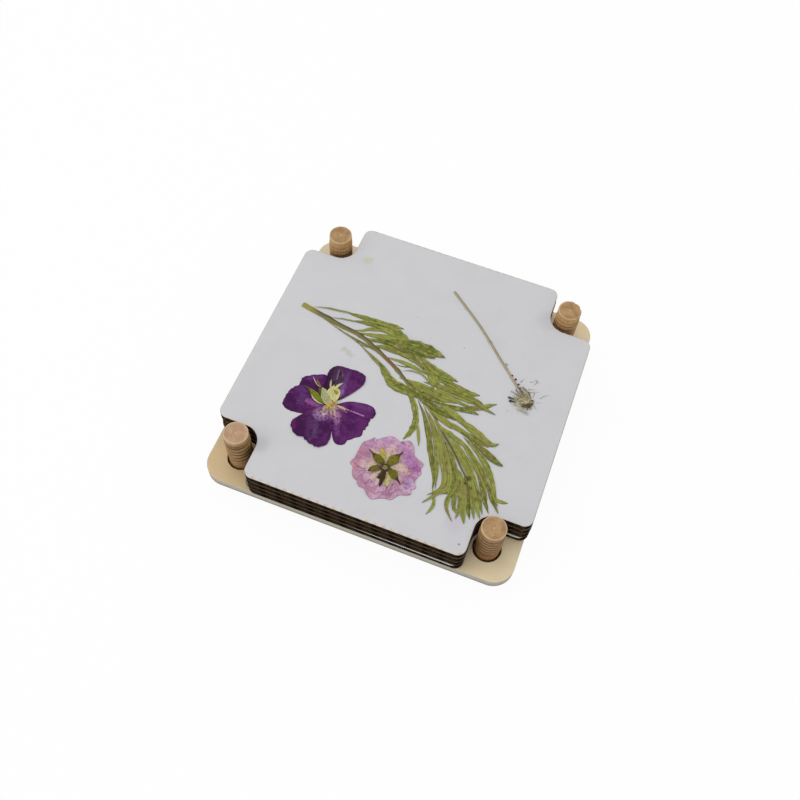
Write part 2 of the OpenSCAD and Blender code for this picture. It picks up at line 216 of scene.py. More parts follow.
class PRESS_PG_seed(PropertyGroup):
    """Seed head."""
    stalk_width: length("Stalk width", "Width of the stalk", 1.45)
    hair: length("Hair", "Radius of a hair", 0.13)
    stalk: colour("Stalk", "Stalk", 172, 162, 128)
    blush: colour("Blush", "Upper part of the stalk", 178, 156, 130)
    straw: colour("Straw", "Pale hairs", 198, 192, 162)


GROUPS = {
    "press_stage": PRESS_PG_stage,
    "press_board": PRESS_PG_board,
    "press_bolts": PRESS_PG_bolts,
    "press_cards": PRESS_PG_cards,
    "press_sprig": PRESS_PG_sprig,
    "press_purple": PRESS_PG_purple,
    "press_pink": PRESS_PG_pink,
    "press_seed": PRESS_PG_seed,
}


# Shader maths

class Value:
    """A number, colour or shader that a tree's nodes work out. Arithmetic adds Math nodes."""

    def __init__(self, tree, socket):
        self.tree = tree
        self.socket = socket

    def math(self, operation, *terms):
        return self.tree.node("Math", {"operation": operation}, dict(enumerate(terms)))

    def __add__(self, other):
        return self.math("ADD", self, other)

    def __radd__(self, other):
        return self.math("ADD", other, self)

    def __sub__(self, other):
        return self.math("SUBTRACT", self, other)

    def __rsub__(self, other):
        return self.math("SUBTRACT", other, self)

    def __mul__(self, other):
        return self.math("MULTIPLY", self, other)

    def __rmul__(self, other):
        return self.math("MULTIPLY", other, self)

    def __abs__(self):
        return self.math("ABSOLUTE", self)

    def sin(self):
        return self.math("SINE", self)

    def most(self, other):
        return self.math("MAXIMUM", self, other)

    def step(self, low, high, before, after):
        """The number before up to low, the number after from high, and a smooth step between."""
        return self.tree.node("MapRange", {"interpolation_type": "SMOOTHSTEP"},
                              {0: self, 1: low, 2: high, 3: before, 4: after})

    def rise(self, low, high):
        """0 below low and 1 above high."""
        return self.step(low, high, 0.0, 1.0)

    def fall(self, low, high):
        """1 below low and 0 above high."""
        return self.step(low, high, 1.0, 0.0)


class Tree:
    """The nodes of a material or a world."""

    def __init__(self, owner):
        owner.use_nodes = True
        self.nodes = owner.node_tree.nodes
        self.links = owner.node_tree.links

    def feed(self, socket, source):
        """Links or sets one input socket."""
        if isinstance(source, Value):
            self.links.new(source.socket, socket)
        elif hasattr(socket.default_value, "__len__"):
            size = len(socket.default_value)
            socket.default_value = (tuple(source) + (1.0,))[:size]
        else:
            socket.default_value = source

    def node(self, kind, settings, inputs, output=0):
        """Adds a shader node, sets it up, feeds its sockets and returns one of its outputs."""
        node = self.nodes.new("ShaderNode" + kind)
        for name, setting in settings.items():
            setattr(node, name, setting)
        for key, source in inputs.items():
            self.feed(node.inputs[key], source)
        return Value(self, node.outputs[output])

    def show(self, plain, bright, amount, end):
        """Shows the shader bright, as much as amount says, to the camera and in gloss and glass,
        and the shader plain to all other rays."""
        seen = self.node("LightPath", {}, {}, "Is Camera Ray")
        for ray in ("Is Glossy Ray", "Is Transmission Ray"):
            seen = seen.most(self.node("LightPath", {}, {}, ray))
        mixed = self.node("MixShader", {}, {0: seen*amount, 1: plain, 2: bright})
        self.feed(self.nodes[end].inputs["Surface"], mixed)


# How soft the rims of a wash's spots and streaks are, and how far grit moves a streak's rim, as
# shares of their half width
SPOT_SOFT_SHARE = 0.6
STREAK_SOFT_SHARE = 0.8
STREAK_GRIT_SHARE = 4


class Paint(Tree):
    """A procedural material round one Principled shader."""

    def __init__(self, name, roughness=0.7, gloss=0.25):
        self.material = bpy.data.materials.new(name)
        super().__init__(self.material)
        self.shader = self.nodes["Principled BSDF"]
        self.shader.inputs["Roughness"].default_value = roughness
        self.shader.inputs["Specular IOR Level"].default_value = gloss
        self.place = self.node("TexCoord", {}, {}, "Object")
        x, y, _ = self.axes()
        self.flat = self.triple(x, y, 0.0)

    def axes(self):
        """The X, Y and Z of the place on the piece, in metres."""
        return [self.node("SeparateXYZ", {}, {0: self.place}, axis) for axis in range(3)]

    def held(self, *names):
        """The values of those names that the mesh holds at its points."""
        return [self.node("Attribute", {"attribute_name": name}, {}, "Fac") for name in names]

    def point_tint(self):
        """The colour that the mesh holds at its points, as tinted gives it."""
        return self.triple(*self.held("red", "green", "blue"))

    def triple(self, x, y, z):
        return self.node("CombineXYZ", {}, {0: x, 1: y, 2: z})

    def distance(self, a, b):
        return self.node("VectorMath", {"operation": "DISTANCE"}, {0: a, 1: b}, "Value")

    def seen_from(self, origin, place):
        return self.node("VectorMath", {"operation": "SUBTRACT"}, {0: place, 1: origin})

    def scaled(self, vector, factor):
        """A place or a colour times a number."""
        return self.node("VectorMath", {"operation": "SCALE"}, {0: vector, 3: factor})

    def noise(self, scale, detail=3.0, roughness=0.55, at=None):
        """Noise on the piece's place, or on at. Scale is a number or one for each axis."""
        at = at or self.place
        if not np.isscalar(scale):
            at = self.node("Mapping", {}, {"Vector": at, "Scale": scale})
            scale = 1.0
        return self.node("TexNoise", {}, {"Vector": at, "Scale": scale, "Detail": detail,
                                          "Roughness": roughness})

    def mix(self, mask, first, second):
        """The first colour where mask is 0 and the second where it is 1."""
        return self.node("Mix", {"data_type": "RGBA"}, {0: mask, 6: first, 7: second}, 2)

    def layers(self, base, *layers):
        """Lays colours over base one after another, each by its mask."""
        for mask, tint in layers:
            base = self.mix(mask, base, tint)
        return base

    def spot(self, place, radius):
        """1 inside a round spot of the card's top, in metres, fading out over its rim."""
        soft = SPOT_SOFT_SHARE*radius
        return self.distance(self.flat, (*place, 0.0)).fall(radius - soft, radius + soft)

    def streak(self, a, b, half, grit):
        """1 along the line from a to b on the card's top, half to each side of it, in metres. It
        fades out over its rim, and grit is added to the distance from the line."""
        way = np.array(b) - np.array(a)
        here = self.seen_from((*a, 0.0), self.flat)
        run = self.node("VectorMath", {"operation": "DOT_PRODUCT"},
                        {0: here, 1: (*(way/(way @ way)), 0.0)}, "Value")
        foot = self.scaled((*way, 0.0), self.node("Clamp", {}, {0: run}))
        soft = STREAK_SOFT_SHARE*half
        return (self.distance(here, foot) + grit).fall(half - soft, half + soft)

    def washes(self, base, marks):
        """Lays colours over base: a spot is (x, y, radius, colour, amount) and a streak is
        (ends, half width, colour, amount), in millimetres on the card."""
        grit = self.noise(700, 3) - 0.5
        for *place, half, tint, amount in marks:
            half = half*MM
            if len(place) == 2:
                mask = self.spot(np.array(place)*MM, half)
            else:
                mask = self.streak(*(np.array(place[0])*MM), half, grit*(half*STREAK_GRIT_SHARE))
            base = self.mix(mask*amount, base, linear(tint))
        return base

    def finish(self, base, roughness=None, height=None, depth=0.1*MM):
        """Feeds the shader: base colour, roughness, and a height from 0 to 1 of that depth."""
        self.feed(self.shader.inputs["Base Color"], base)
        if roughness is not None:
            self.feed(self.shader.inputs["Roughness"], roughness)
        if height is not None:
            bump = self.node("Bump", {}, {"Distance": depth, "Height": height}, "Normal")
            self.feed(self.shader.inputs["Normal"], bump)
        return self.material


def speckled(name, roughness, grain_scale, detail, grain_roughness, low, dark, depth):
    """Grainy material in the tint that the points hold, times dark where the grain is low."""
    p = Paint(name, roughness)
    grain = p.noise(grain_scale, detail, grain_roughness)
    tint = p.point_tint()
    return p.finish(p.mix(grain.rise(low, 0.6), p.scaled(tint, dark), tint), None, grain, depth)


# Mesh building

def facing_out(points, faces):
    """The faces of a closed skin, turned round if its signed volume is negative. The volume is
    the sum of the tetrahedra that the faces' triangles make with the origin."""
    volume = 0.0
    for block in faces:
        for last in range(2, block.shape[1]):
            a, b, c = points[block[:, 0]], points[block[:, last - 1]], points[block[:, last]]
            volume += np.einsum("ij,ij->", a, np.cross(b, c))
    return faces if volume > 0 else [block[:, ::-1] for block in faces]


class Skin:
    """The points, faces and point values of one piece, gathered part by part."""

    def __init__(self):
        self.points = []
        self.faces = []
        self.values = {}
        self.count = 0

    def add(self, points, faces, values):
        """Adds a closed skin: faces is a list of index arrays, and values has one array a name."""
        for block in facing_out(points, faces):
            self.faces += (block + self.count).tolist()
        self.points.append(points)
        for name, value in values.items():
            self.values.setdefault(name, []).append(np.broadcast_to(value, len(points)).ravel())
        self.count += len(points)

    def add_rings(self, rings, **values):
        """Adds the skin over an array (rings, columns, 3): quads between neighbouring rings,
        closed round each ring, with the end rings drawn to their means."""
        n, m, _ = rings.shape
        index = np.arange(n*m).reshape(n, m)
        ahead = np.roll(index, -1, axis=1)
        quads = np.stack([index[:-1], ahead[:-1], ahead[1:], index[1:]], -1).reshape(-1, 4)
        first = np.stack([ahead[0], index[0], np.full(m, n*m)], -1)
        last = np.stack([index[-1], ahead[-1], np.full(m, n*m + 1)], -1)
        points = np.concatenate([rings.reshape(-1, 3), [rings[0].mean(0), rings[-1].mean(0)]])
        spread = {}
        for name, value in values.items():
            grid = np.broadcast_to(value, (n, m))
            spread[name] = np.append(grid.ravel(), [grid[0].mean(), grid[-1].mean()])
        self.add(points, [quads, first, last], spread)

    def make(self, name, material, body, slot, replaced=(), crease=40):
        """The finished piece: smooth but for edges sharper than crease degrees."""
        mesh = bpy.data.meshes.new(name)
        mesh.from_pydata(np.concatenate(self.points), [], self.faces)
        for label, parts in self.values.items():
            layer = mesh.attributes.new(label, "FLOAT", "POINT")
            layer.data.foreach_set("value", np.concatenate(parts).astype(np.float32))
        mesh.shade_smooth()
        mesh.set_sharp_from_angle(angle=np.radians(crease))
        mesh.materials.append(material)
        piece = bpy.data.objects.new(name, mesh)
        bpy.context.scene.collection.objects.link(piece)
        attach(piece, body)
        if replaced:
            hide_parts(*replaced)
        return piece


def tinted(rgb):
    """A colour as the three values that a skin holds at its points."""
    return dict(zip(("red", "green", "blue"), linear(rgb)))


def soft_step(x, low, high):
    """0 below low, 1 above high, and the cubic 3t² - 2t³ between."""
    t = np.clip((x - low)/(high - low), 0, 1)
    return t*t*(3 - 2*t)


def ripple(x, seed, low=1, high=7, waves=5):
    """A smooth random line between about -1 and 1: the mean of sines of x, with whole
    frequencies from low to high and random phases, so that it closes over a full turn."""
    rng = np.random.default_rng(seed)
    frequency = rng.integers(low, high + 1, waves)
    phase = rng.uniform(0, FULL_TURN, waves)
    return np.sin(np.asarray(x)[..., None]*frequency + phase).mean(-1)*1.5


def cubic(a, b, c, d, t):
    """The Catmull-Rom cubic from b to c, whose slopes there are half the ways from a to c and
    from b to d."""
    return (2*b + (c - a)*t + (2*a - 5*b + 4*c - d)*t**2 + (3*b - a - 3*c + d)*t**3)/2


def heading(angle):
    """The flat unit vector in a direction."""
    return np.stack([np.cos(angle), np.sin(angle)], -1)


def closed_curve(points, steps):
    """The curve of cubics through a ring of points, with that many steps between two."""
    p = np.asarray(points, float)
    a, b, c, d = (np.roll(p, shift, axis=0)[:, None] for shift in (1, 0, -1, -2))
    t = (np.arange(steps)/steps)[None, :, None]
    return cubic(a, b, c, d, t).reshape(-1, p.shape[1])


def open_curve(points, count):
    """The curve of cubics through points from the first to the last, at even steps."""
    p = np.asarray(points, float)
    p = np.concatenate([[2*p[0] - p[1]], p, [2*p[-1] - p[-2]]])
    u = np.linspace(0, len(p) - 3 - 1e-9, count)
    i = u.astype(int)
    return cubic(p[i], p[i + 1], p[i + 2], p[i + 3], (u - i)[:, None])


# Plates: the base board, the liners and the papers

def outline(arcs, step=None):
    """Points and outward normals of a closed outline of arcs joined by straight lines. An arc is
    (centre x, centre y, radius, first degree, last degree), and a negative radius makes it a
    hollow one, whose normal points to its centre. With a step, points lie that far apart."""
    points, normals = [], []
    for x, y, radius, first, last in arcs:
        angle = np.radians(np.linspace(first, last, 3 + int(abs(last - first)/5)))
        ray = heading(angle)
        points.append([x, y] + abs(radius)*ray)
        normals.append(np.sign(radius)*ray)
    points, normals = np.concatenate(points), np.concatenate(normals)
    if step:
        closed = np.concatenate([points, points[:1]])
        run = np.append(0, np.cumsum(np.hypot(*np.diff(closed, axis=0).T)))
        at = np.linspace(0, run[-1], int(run[-1]/step), endpoint=False)
        rows = np.concatenate([closed, np.concatenate([normals, normals[:1]])], axis=1)
        rows = np.stack([np.interp(at, run, column) for column in rows.T], -1)
        points, normals = rows[:, :2], rows[:, 2:]
        normals = normals/np.hypot(*normals.T)[:, None]
    return points, normals


def board_arcs(half, corner):
    """A square with round corners, anticlockwise."""
    side = half - corner
    return [(side, side, corner, 0, 90), (-side, side, corner, 90, 180),
            (-side, -side, corner, 180, 270), (side, -side, corner, 270, 360)]


def card_arcs(half, corner, notch):
    """A square with a notch at each corner: the notch's walls run from the outer corners of the
    arms to a quarter circle round the bolt."""
    arm = BOLT_AT - notch
    quarter = [(half - corner, arm - corner, corner, 0, 90), (BOLT_AT, BOLT_AT, -notch, 270, 180),
               (arm - corner, half - corner, corner, 0, 90)]
    arcs = []
    for turn in range(4):
        c, s = np.cos(turn*np.pi/2), np.sin(turn*np.pi/2)
        arcs += [(c*x - s*y, s*x + c*y, radius, first + 90*turn, last + 90*turn)
                 for x, y, radius, first, last in quarter]
    return arcs


def add_plate(skin, loops, z0, z1, edge, inner, drop=None):
    """Adds a flat plate between heights z0 and z1. Each loop is (points, normals, burn), the
    holes clockwise. The section carried along a loop starts on the upper face, inner from the
    rim, rounds the edge with quarter circles and ends on the lower face. Drop gives how far
    the rim sinks at each of the points. Burn is kept at the points, and so is rim, the distance
    from the cut edge."""
    arc = np.linspace(0, np.pi/2, 4)
    edge = min(edge, (z1 - z0)*0.45)
    inset = np.concatenate([[inner, inner/2], edge*(1 - np.sin(arc))])
    height = np.concatenate([[z1, z1], z1 - edge*(1 - np.cos(arc))])
    inset = np.concatenate([inset, inset[::-1]])
    height = np.concatenate([height, z0 + z1 - height[::-1]])
    points, quads, caps, burns, rims = [], [], [[], []], [], []
    count = 0
    for outline_points, normals, burn in loops:
        n = len(outline_points)
        flat = outline_points - normals*inset[:, None, None]
        z = np.repeat(height[:, None], n, axis=1)
        if drop is not None:
            z = z - drop(outline_points, normals)*(1 - inset[:, None]/inner)
        ring = np.concatenate([flat, z[..., None]], -1)
        index = count + np.arange(len(inset)*n).reshape(len(inset), n)
        ahead = np.roll(index, -1, axis=1)
        quads.append(np.stack([index[:-1], index[1:], ahead[1:], ahead[:-1]], -1).reshape(-1, 4))
        caps[0].append((flat[0], index[0]))
        caps[1].append((flat[-1], index[-1]))
        points.append(ring.reshape(-1, 3))
        rims.append(np.repeat(inset, n))
        burns.append(np.tile(np.broadcast_to(burn, n), len(inset)))
        count += index.size
    faces = [np.concatenate(quads)]
    for side, rings in enumerate(caps):
        numbers = np.concatenate([index for _, index in rings])
        places = np.concatenate([flat for flat, _ in rings])
        triangles = np.array(tessellate_polygon([[(x, y, 0.0) for x, y in flat] for flat, _ in rings]))
        a, b, c = (places[triangles[:, k]] for k in range(3))
        area = (b[:, 0] - a[:, 0])*(c[:, 1] - a[:, 1]) - (b[:, 1] - a[:, 1])*(c[:, 0] - a[:, 0])
        wrong = (area < 0) if side == 0 else (area > 0)
        triangles[wrong] = triangles[wrong][:, ::-1]
        faces.append(numbers[triangles])
    skin.add(np.concatenate(points), faces,
             {"burn": np.concatenate(burns), "rim": np.concatenate(rims)})


# Tints of the board's face, the second one painted light: place and radius in mm, colour and amount
BOARD_TINTS_AND_LIGHT = [
    # Painted light: the second tint lightens the right front corner, which the lamps leave in shade
    (-76, -74, 26, (205, 178, 134), 0.75), (76, -76, 24, (238, 222, 184), 0.6),
    (-74, 74, 22, (206, 192, 164), 0.7),
]
PLIES = 5


def plywood(s):
    """Pale face veneer with fine grain along X, plies on the outer edge, whose upper part is painted
    lighter as light from above, and charred holes with a dark ring round them."""
    p = Paint("birch_plywood", 0.62)
    _, _, z = p.axes()
    bottom, top = BOARD_LOW[2], BOARD_HIGH[2]
    rim, burn = p.held("rim", "burn")
    wall = rim.fall(0.02*MM, 0.22*MM)
    fine = p.noise((60, 2600, 400), 3, 0.6)
    broad = p.noise((16, 120, 30), 3, 0.5)
    figure = (fine*0.3 + broad*0.8).rise(0.4, 0.85)
    clouds = p.noise((30, 60, 30), 2, 0.5).rise(0.5, 0.7)
    face = p.layers(s.face, (figure*0.7, s.grain), (clouds*0.25, linear((222, 190, 146))))
    face = p.washes(face, BOARD_TINTS_AND_LIGHT)
    ply = ((z - bottom)*(np.pi*PLIES/(top - bottom))).sin()
    ends = p.noise((350, 350, 500), 3, 0.5)
    # Painted light: the edge is painted lighter towards its top, as lit from above
    painted_light_above = z.rise(bottom + 1.5*MM, bottom + 4*MM)
    plies = p.mix(painted_light_above*0.6 + ply*0.12 + ends*0.5 - 0.12, s.edge_dark, s.edge_light)
    soot = p.noise(700, 4, 0.6)
    charred = p.mix(soot, (0.012, 0.007, 0.004), (0.06, 0.035, 0.02))
    ring = (rim + soot*(0.5*MM)).fall(0.35*MM, 0.75*MM)*burn
    base = p.layers(face, (wall, plies), (ring.most(wall*burn), charred))
    return p.finish(base, 0.6 + wall*0.2, fine*0.5 + broad*0.5, 0.05*MM)


class PRESS_OT_board(Operator):
    """Cuts the plywood base board with its four charred holes"""
    bl_idname = "press.board"
    bl_label = "Base board"

    def execute(self, context):
        s = context.scene.press_board
        low, high = BOARD_LOW, BOARD_HIGH
        loops = [(*outline(board_arcs((high[0] - low[0])/2, s.corner)), 0.0)]
        for bolt in BOLTS:
            x, y, _ = middle(bolt)
            points, normals = outline([(x, y, -s.hole, 360, 5)])
            loops.append((points, normals, 1.0))
        skin = Skin()
        add_plate(skin, loops, low[2], high[2], s.edge, inner=2*MM)
        skin.make("plywood_base", plywood(s), "base", "plywood", ["base_board"])
        return {"FINISHED"}


def cut_paper(name, s, face, inside, white, rim_tint, browned=0.3*MM):
    """Paper or liner: a face mottled with the colour inside, an edge browned over the width
    browned and charred by the laser, and, as much as white says, tan scorch marks along the front
    and rear edges, two to a wave of the fluting."""
    p = Paint(name, 0.9, 0.08)
    x, y, _ = p.axes()
    rim, burn = p.held("rim", "burn")
    mottle = p.noise(55, 4, 0.6)
    fibre = p.noise(1800, 3, 0.7)
    waves = x*(FULL_TURN/s.wave)
    patch = p.noise(160, 2, 0.5).rise(0.3, 0.55)
    ragged = p.noise(700, 3)
    ends = y.fall(2*MM - CARD_HALF, 3*MM - CARD_HALF) + y.rise(CARD_HALF - 3*MM, CARD_HALF - 2*MM)*0.4
    near = (rim + ragged*(3*MM)).fall(1.7*MM, 3.9*MM)
    mark = abs(waves.sin()).fall(0.35, 0.9)*ends*patch*near
    tan = p.mix(ragged.rise(0.4, 0.6), linear((206, 182, 160)), linear((196, 184, 146)))
    line = (rim + p.noise(420, 3)*(browned*1.5)).fall(browned, browned*2)
    wall = (rim + p.noise(1400, 2)*(0.03*MM)).fall(0.02*MM, 0.07*MM)
    soot = p.noise(900, 4, 0.65)
    crisp = p.mix(soot.rise(0.34, 0.62), s.char, s.kraft)
    base = p.layers(face, (mottle.rise(0.35, 0.75), inside), (mark*(white*0.9), tan),
                    (line*burn*0.85, rim_tint), (wall*burn, crisp))
    if name == "white_liner":
        # Marks and painted bolt shadows on the top card
        base = p.washes(base, CARD_MARKS_AND_SHADOWS)
    wash = (waves*2 + p.noise(30, 2)*2).sin()
    return p.finish(base, None, fibre*0.25 + wash*0.1 + mottle*0.6, 0.05*MM)


# Faint marks on the top card, and painted shadows of two bolts beside their notches: place and
# radius in mm, colour and amount
CARD_MARKS_AND_SHADOWS = [
    (-53, 67, 2.4, (192, 192, 128), 0.45), (-50.5, 69, 1.2, (186, 190, 120), 0.4),
    (58.3, -84, 0.55, (110, 108, 118), 0.8), (((-42, 3.2), (-36, 1)), 1.3, (166, 166, 154), 0.4),
    (22.5, 30, 0.5, (140, 130, 130), 0.5), (14, 56, 0.4, (140, 130, 130), 0.4),
    (-10, 40, 0.4, (150, 140, 140), 0.4), (58, 0, 0.5, (150, 140, 140), 0.4),
    # Painted shadows: soft grey shade that the left front and right rear bolts cast on the card beside their
    # notches
    (-60.5, -70, 4.5, (182, 182, 186), 0.5), (62.5, 67.5, 6, (186, 186, 190), 0.45),
    (52, -74, 5, (196, 188, 202), 0.5), (-20, -78, 9, (204, 204, 204), 0.5),
]


def fluting_paint(s, number, centre):
    """Brown waved sheet, charred near the card's outline: near the straight edges and round the
    notches. Centre is the card's own middle."""
    p = Paint(f"brown_fluting_{number}", 0.9, 0.08)
    x, y, _ = p.axes()
    x, y = abs(x - centre[0]), abs(y - centre[1])
    notch = p.distance(p.triple(x, y, 0.0), (BOLT_AT, BOLT_AT, 0.0))
    ragged = p.noise(260, 3)*(3*MM)
    burnt = (x.most(y) + ragged).rise(CARD_HALF - 4*MM, CARD_HALF - 0.5*MM)
    burnt = burnt.most((notch - ragged).fall(s.notch + 0.5*MM, s.notch + 4*MM))
    shade = p.mix(p.noise(700, 4), dim(s.kraft, 0.6), s.kraft)
    return p.finish(p.mix(burnt*0.9, shade, s.char), None, p.noise(1500, 3), 0.04*MM)


class PRESS_OT_cards(Operator):
    """Cuts the corrugated cards and the blotting papers between them"""
    bl_idname = "press.cards"
    bl_label = "Cards and papers"

    def execute(self, context):
        s = context.scene.press_cards
        arcs = card_arcs(CARD_HALF, s.corner, s.notch)
        shape, normals = outline(arcs, 0.6*MM)
        deep = dim(s.kraft, 0.6)
        brown = cut_paper("brown_liner", s, s.kraft, dim(s.kraft, 0.85), 0.0, deep, 2*MM)
        white = cut_paper("white_liner", s, s.face, dim(s.face, 0.965), 1.0, s.toast)
        browned = cut_paper("browned_liner", s, s.face, dim(s.face, 0.9), 1.0, deep, 1.5*MM)
        blotter = cut_paper("blotting_paper", s, s.blotter, dim(s.blotter, 0.95), 0.0, deep,
                            1.5*MM)

        def between_waves(points, normals):
            across = np.sin(points[:, 0]*FULL_TURN/s.wave)**2
            return s.sag*across*np.abs(normals[:, 1])

        def sheet(name, node, body, paint, slot, burn, drop=None, turn=0.0):
            low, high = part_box(node)
            x, y, _ = middle(node)
            c, t = np.cos(turn), np.sin(turn)
            spin = np.array([[c, t], [-t, c]])
            loop = (shape @ spin + [x, y], normals @ spin, burn)
            skin = Skin()
            add_plate(skin, [loop], low[2], high[2], s.edge, inner=3*MM, drop=drop)
            skin.make(name, paint, body, slot, [node])

        for i in range(1, CARDS + 1):
            card = f"card_{i}"
            sheet(card + "_lower_face", card + "_lower_liner", card, brown, "brown_liner", 1.0)
            sheet(card + "_upper_face", card + "_upper_liner", card,
                  white if i == CARDS else browned, "white_liner", 1.0, between_waves)
            waved = fluting_paint(s, i, middle(card + "_upper_liner"))
            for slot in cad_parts[card + "_fluting"].material_slots:
                slot.material = waved
        for i, turn in enumerate(BLOTTER_TURNS, 1):
            charred = 1 - soft_step(shape[:, 0], -15*MM, 20*MM)*(i == 1)
            sheet(f"blotting_paper_{i}", f"blotter_{i}", f"blotter_{i}", blotter, "blotting_paper",
                  charred, turn=np.radians(turn))
        return {"FINISHED"}


# How far each blotting paper lies turned on the pile, in degrees
BLOTTER_TURNS = (-0.5, 0.1, 0)
CARDS = 4


# Bolts

# For each bolt, in the order of BOLTS: where its thread starts, as a share of a turn, by how much
# its sides are painted lighter or darker as light falls on it, how light its end is, and how dark
# the painted shade in its grooves is
THREAD_STARTS = (0.36, 0.62, 0.62, 0.86)
BOLT_PAINTED_LIGHT = (0.92, 0.73, 1.17, 1.09)
END_SHADES = (1.0, 0.88, 0.86, 0.84)
GROOVE_PAINTED_SHADE = (0.8, 0.85, 0.55, 0.5)


def bolt_profile(s, head, z0, z1, top):
    """The radius and height of a bolt's outline, from the middle of the head's lower face, up
    the shank and over the end to its middle. The end is sunk a little and has rings and a pip."""
    disc = np.linspace(0.02, 1, 9)
    arc = np.linspace(0, np.pi/2, 5)
    round_r = head - s.head_bevel*(1 - np.sin(arc))
    round_z = s.head_bevel*(1 - np.cos(arc))
    bevel_r = s.shank - s.tip_bevel*(1 - np.cos(arc))
    bevel_z = top - s.tip_bevel*(1 - np.sin(arc))
    sections = [
        (disc*(head - s.head_bevel), 0),
        (round_r[1:], round_z[1:]),
        (round_r[::-1], s.head_height - round_z[::-1]),
        ([head - s.head_bevel - 1*MM, s.shank], s.head_height),
        (s.shank, np.linspace(s.head_height + 0.5*MM, z0 - 1*MM, 3)),
        (s.shank, np.linspace(z0 - 0.5*MM, z1 + 0.5*MM, 150)),
        (s.shank, np.linspace(z1 + 0.9*MM, top - s.tip_bevel, 5)[:-1]),
        (bevel_r[1:], bevel_z[1:]),
        (disc[-2::-1]*(s.shank - s.tip_bevel), top),
    ]
    r, z = np.concatenate([np.broadcast_arrays(r, z) for r, z in sections], axis=1)
    pip = 0.08*MM*np.exp(-(r/(0.4*MM))**2) + 0.01*MM*np.cos(r/MM*FULL_TURN/1.7)
    on_end = (z >= top - 1e-9) & (r < s.shank - 0.7*MM)
    return r, np.where(on_end, top - 0.13*MM + pip, z)


def bolt_rings(s, bolt, start, ragged, seed):
    """A bolt's skin, r(turn, z), and how deep in a groove each point is. Round the plain profile
    of head, shank, core and end runs a ridge whose crest climbs one pitch a turn:
    r = root + depth (1 - |2 phase|^2.2)^0.6, where phase is the height from the nearest crest
    in pitches. It fades in and out over half a turn. The end has bites as deep as ragged says."""
    low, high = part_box(bolt)
    x, y, _ = middle(bolt)
    top, head = high[2], (high[0] - low[0])/2
    z0, z1 = BOARD_HIGH[2] + s.bare, top - s.tip
    profile_r, profile_z = bolt_profile(s, head, z0, z1, top)
    r, a = np.meshgrid(profile_r, full_turn(180), indexing="ij")
    z = np.broadcast_to(profile_z[:, None], r.shape)
    turned = (a/FULL_TURN - start) % 1
    climbed = (z - z0 - s.pitch/2)/s.pitch
    passed = np.round(climbed - turned) + turned
    steps = (z1 - z0 - s.pitch)/s.pitch
    fade = np.clip(np.minimum(2*passed, 2*(steps - passed)) + 0.25, 0, 1)
    ridge = np.clip(1 - np.abs(2*(climbed - passed))**2.2, 0, 1)**0.6*fade
    window = soft_step(z, z0 - 0.3*MM, z0 + 0.3*MM)*(1 - soft_step(z, z1 - 0.3*MM, z1 + 0.3*MM))
    core = s.shank + (s.root - s.shank)*window*fade
    threaded = (z > z0 - 0.6*MM) & (z < z1 + 0.6*MM)
    r = np.where(threaded, np.maximum(core, s.root + (s.crest - s.root)*ridge), r)
    groove = np.where(threaded, window*fade*(1 - ridge)**1.2, 0)
    wobble = 0.03*MM*ripple(a + 3*z/MM/20, seed, 2, 9)
    worn = 0.05*MM*ripple(a, seed + 7, 3, 12)*np.sin(z/MM*2.1)
    r = r + np.where(z > s.head_height + 0.1*MM, (wobble + worn)*np.clip(r/s.shank, 0, 1), 0)
    bite = np.clip(np.cos(10*a + 0.6*np.sin(3*a)), 0, 1)**0.7*soft_step(np.cos(a - 0.35), -0.2, 0.4)
    bite = bite*soft_step(z, z1 - 2*MM, top - 0.6*MM)*soft_step(r, 0.6*s.shank, 0.9*s.shank)
    r = np.minimum(r*(1 - ragged*0.075*bite), np.where(z > s.head_height, s.crest, head))
    return np.stack([x + r*np.cos(a), y + r*np.sin(a), z], -1), groove


def beech(s, bolt, number):
    """Beech with fibres along the bolt, small flecks, a plain end with a pale pip and rim, and
    painted shade in the thread groove. Each bolt's sides are painted lighter or darker by its own
    factor, as light falls on it, and its end has its own tone. The right front one is
    orange-brown at its foot, the left front one's end is pinker."""
    p = Paint("beech_" + bolt, 0.6)
    x, y, _ = middle(bolt)
    _, _, height = p.axes()
    groove, = p.held("groove")
    local = p.seen_from((x, y, 0.1*number), p.place)
    fibres = p.noise((1100, 1100, 45), 4, 0.65, local)
    flecks = p.noise((2600, 900, 130), 2, 0.5, local).rise(0.6, 0.72)
    soft = p.noise(230, 3, 0.55, local)
    # Painted light: the sides' colours are scaled by each bolt's own factor for how light falls on it
    shade, end_shade = BOLT_PAINTED_LIGHT[number], END_SHADES[number]
    wood = p.mix((fibres*0.55 + soft*0.45).rise(0.35, 0.65), dim(s.fibre, shade), dim(s.wood, shade))
    # Dark flecks of the wood, then painted shade in the thread's grooves
    wood = p.layers(wood, (flecks*0.25, s.groove),
                    (groove.rise(0.02, 0.36)*GROOVE_PAINTED_SHADE[number], s.groove))
    if bolt == "bolt_right_front":
        wood = p.mix(height.fall(14*MM, 26*MM)*0.45, wood, linear((150, 96, 44)))
    end = p.mix(soft.rise(0.35, 0.65), dim(s.end_dark, end_shade), dim(s.end, end_shade))
    end = p.mix(fibres.rise(0.55, 0.7)*0.25, end, s.end_dark)
    if bolt == "bolt_left_front":
        end = p.mix(0.35, end, linear((184, 158, 142)))
    away = p.distance(p.flat, (x, y, 0.0))
    end = p.layers(end, (away.fall(0.25*MM, 0.7*MM)*0.5, linear((226, 200, 158))),
                   (away.rise(5.9*MM, 6.3*MM)*0.5, linear((224, 196, 156))))
    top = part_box(bolt)[1][2]
    base = p.mix(height.rise(top - 0.7*MM, top - 0.45*MM), wood, end)
    return p.finish(base, 0.5 + fibres*0.2, fibres*0.6 + flecks*0.3, 0.06*MM)


